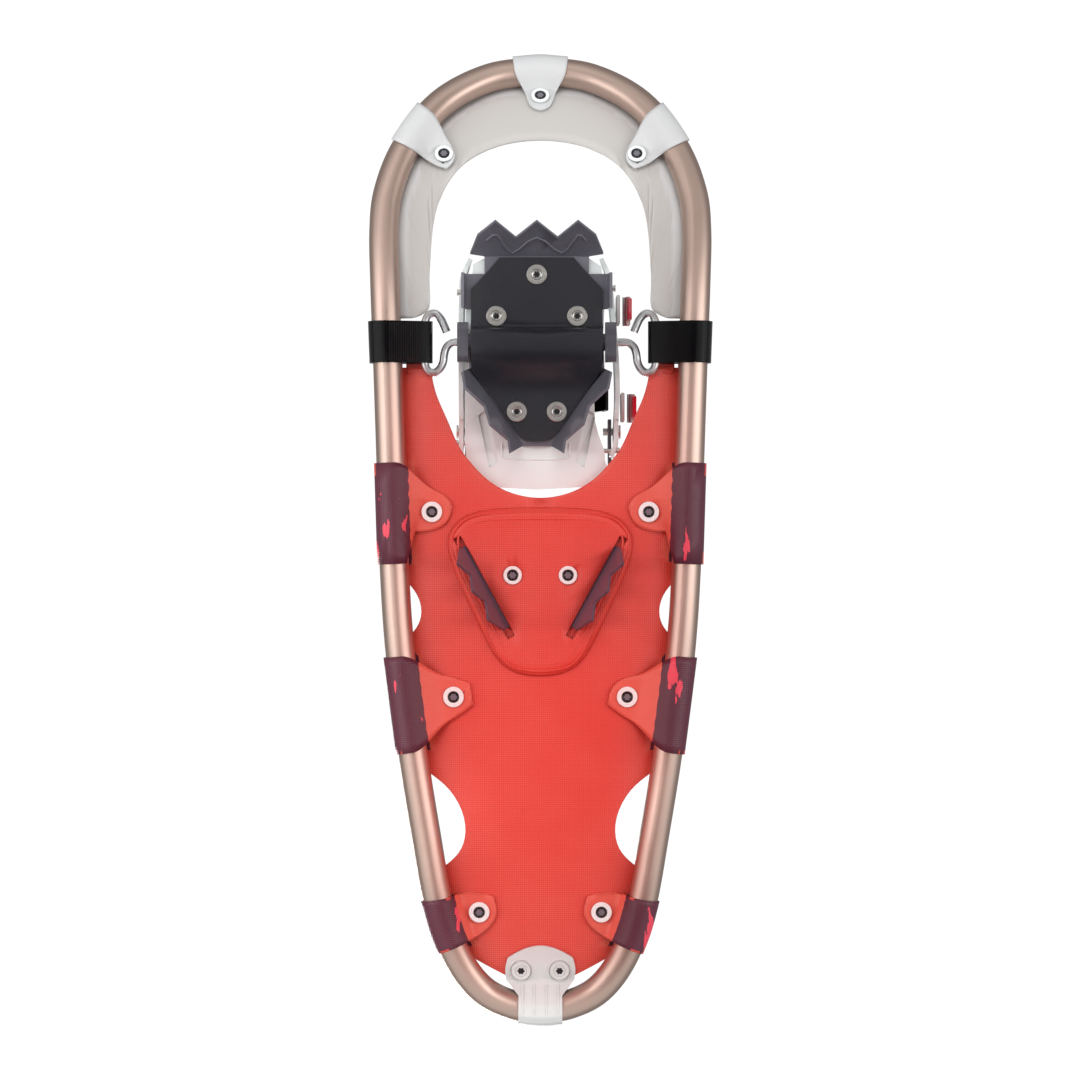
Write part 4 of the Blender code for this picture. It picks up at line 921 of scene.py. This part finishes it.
# The footbed's frame bead has the same lighter copy of the plastic, painted light.
surface_bead("footbed_frame", "footbed", [(p.x, p.y) for p in frame_line], FRAME_R,
             "cool_plastic", "binding")
print("clip ribs, clip rims and footbed frame laid")

# %% [markdown]
# The heel patch is welded on, and its rim shows a raised double line. Two beads follow the
# patch's outline, at two distances inside it.

# %% Patch beads
PATCH_OUTLINE = [(0, 20), (30, 19.5), (48, 16), (58, 7), (60.7, -3), (57, -18), (47, -40),
                 (36, -63), (29, -77), (20, -85.5), (9, -88.5), (0, -89)]
PATCH_LOW = 21.1                        # height of the patch's lower face
BEAD_SINK, BEAD_R = 0.1, 0.7


def patch_bead(name, inset):
    """A half-sunk bead round the patch, inset mm inside its outline."""
    ring = flat_points(PATCH_OUTLINE)
    ring += [Vector((-p.x, p.y, 0)) for p in reversed(ring[1:-1])]
    ring = curve_through(ring, 5, closed=True)
    inner = []
    for i, p in enumerate(ring):
        tangent = (ring[(i + 1) % len(ring)] - ring[i - 1]).normalized()
        q = p + Vector((tangent.y, -tangent.x, 0)) * inset
        inner.append(placed(q.x, q.y, PATCH_LOW + BEAD_SINK))
    return piece(name, swept(name, inner, BEAD_R * MM, 12, closed=True), "coral", body="frame")


beads = [patch_bead("patch_bead_outer", 3.2), patch_bead("patch_bead_inner", 7.4)]
print(len(beads), "beads")

# %% [markdown]
# The deck runs on over the straps to meet the toe deck. Each leg is its own small strip of the
# same cloth, which rises over the strap.

# %% Deck legs
LEG_ROWS = [(107, 27.0, 72.5), (112, 30.5, 74), (116, 35.4, 75), (126, 35.6, 76),
            (137, 35.4, 78)]            # y, height and inner edge
LEG_GAP = 11.5                          # from the tube's middle to the leg's outer edge
LEG_COLUMNS = (0.0, 0.33, 0.67, 1.0)
CLOTH_THICKNESS = 1.2


def deck_leg(name, side):
    """A strip of cloth from the main deck's leg forwards, above the strap."""
    bm = bmesh.new()
    lines = []
    for y, z, inner in LEG_ROWS:
        outer = frame_x(y) - LEG_GAP
        lines.append([bm.verts.new(placed(side * (inner + (outer - inner) * f), y, z))
                      for f in LEG_COLUMNS])
    for a, b in zip(lines, lines[1:]):
        for k in range(len(LEG_COLUMNS) - 1):
            bm.faces.new((a[k], a[k + 1], b[k + 1], b[k]))
    leg = piece(name, mesh_from(bm, name), "coral", body="frame")
    leg.modifiers.new("round", "SUBSURF").levels = 2
    thick = leg.modifiers.new("cloth", "SOLIDIFY")
    thick.thickness = CLOTH_THICKNESS * MM
    thick.offset = 1.0
    return leg


legs = [deck_leg("deck_leg_left", -1), deck_leg("deck_leg_right", 1)]
print(len(legs), "deck legs")

# %% [markdown]
# ## Soft pieces
# The decks are stretched sheets, and the footbed's pad is foam.

# %% Soft pieces
print("5 sheets and 1 pad declared")

# %% [markdown]
# ## Stage, light and camera
# The catalogue view looks straight up at the underside against pure white. The floor is a pale
# plane that shows only from above. It is clear from below, and it never casts a shadow.

# %% Floor
bpy.ops.mesh.primitive_plane_add(size=40, location=(0, 0, 0))
floor = bpy.context.object
floor.name = "floor"
pale = bpy.data.materials.new("floor_pale")
pale.use_nodes = True
tree = pale.node_tree
tree.nodes.clear()
plain = tree.nodes.new("ShaderNodeBsdfDiffuse")
plain.inputs["Color"].default_value = (0.82, 0.82, 0.82, 1)
clear = tree.nodes.new("ShaderNodeBsdfTransparent")
swap = tree.nodes.new("ShaderNodeMixShader")
geometry = tree.nodes.new("ShaderNodeNewGeometry")
rays = tree.nodes.new("ShaderNodeLightPath")
hidden = maths(tree, "MAXIMUM", geometry.outputs["Backfacing"], rays.outputs["Is Shadow Ray"])
end = tree.nodes.new("ShaderNodeOutputMaterial")
for source, socket in ((hidden, swap.inputs[0]), (plain.outputs[0], swap.inputs[1]),
                       (clear.outputs[0], swap.inputs[2]), (swap.outputs[0], end.inputs[0])):
    tree.links.new(source, socket)
floor.data.materials.append(pale)
print("floor", [round(side, 1) for side in floor.dimensions[:2]], "m")

# %% [markdown]
# A catalogue background is pure white, but a world that bright would wash the colours out. So
# the camera sees a brighter world than the one that lights the snowshoe.

# %% World
LIT, SEEN_MORE = 0.32, 0.73             # strength that lights, and what the camera sees besides
scene = bpy.context.scene
scene.view_settings.view_transform = "Standard"
world = bpy.data.worlds.new("studio")
scene.world = world
world.use_nodes = True
tree = world.node_tree
sky = tree.nodes["Background"]
sky.inputs["Color"].default_value = (1, 1, 1, 1)
rays = tree.nodes.new("ShaderNodeLightPath")
level = maths(tree, "MULTIPLY_ADD", rays.outputs["Is Camera Ray"], SEEN_MORE, LIT)
tree.links.new(level, sky.inputs["Strength"])
print("world strength", LIT, "and", round(LIT + SEEN_MORE, 2), "to the camera")

# %% [markdown]
# Two long strips below, one on each side, draw the highlights along the tube. A broad light
# below the nose fills the front, and one above lights the upper side.

# %% Lights


def soft_light(name, place, aim, size, power):
    """A rectangular area light that the camera doesn't see."""
    data = bpy.data.lights.new(name, "AREA")
    data.shape = "RECTANGLE"
    data.size, data.size_y = size
    data.energy = power
    light = bpy.data.objects.new(name, data)
    bpy.context.collection.objects.link(light)
    light.location = place
    light.rotation_euler = (Vector(aim) - Vector(place)).to_track_quat("-Z", "Y").to_euler()
    light.visible_camera = False
    return light


lights = [soft_light("strip_right", (1.25, 0.1, -1.2), (0, 0, 0), (0.25, 1.8), 12),
          soft_light("strip_left", (-1.25, 0.1, -1.2), (0, 0, 0), (0.25, 1.8), 12),
          soft_light("front_below", (0.3, 1.5, -2.1), (0, 0, 0), (1.8, 1.0), 20),
          soft_light("above", (0.8, -1.2, 2.4), (0, 0, 0), (1.4, 1.4), 60)]
print(len(lights), "lights")

# %% [markdown]
# The camera stands straight below with a long lens, so that the frame is seen without
# distortion. Its up is the nose of the snowshoe, and its right is the wearer's left.

# %% Camera
camera_data = bpy.data.cameras.new("catalogue")
camera_data.lens = 103.0
camera_data.sensor_width = 36.0
camera = bpy.data.objects.new("catalogue", camera_data)
bpy.context.collection.objects.link(camera)
right, up, back = Vector((-1, 0, 0)), Vector((0, 1, 0)), Vector((0, 0, -1))
spot = Matrix((right, up, back)).transposed().to_4x4()
spot.translation = (0.0002, -0.0039, -1.978)
camera.matrix_world = spot
scene.camera = camera
print("camera", round(-spot.translation.z, 3), "m below, lens", camera_data.lens, "mm")
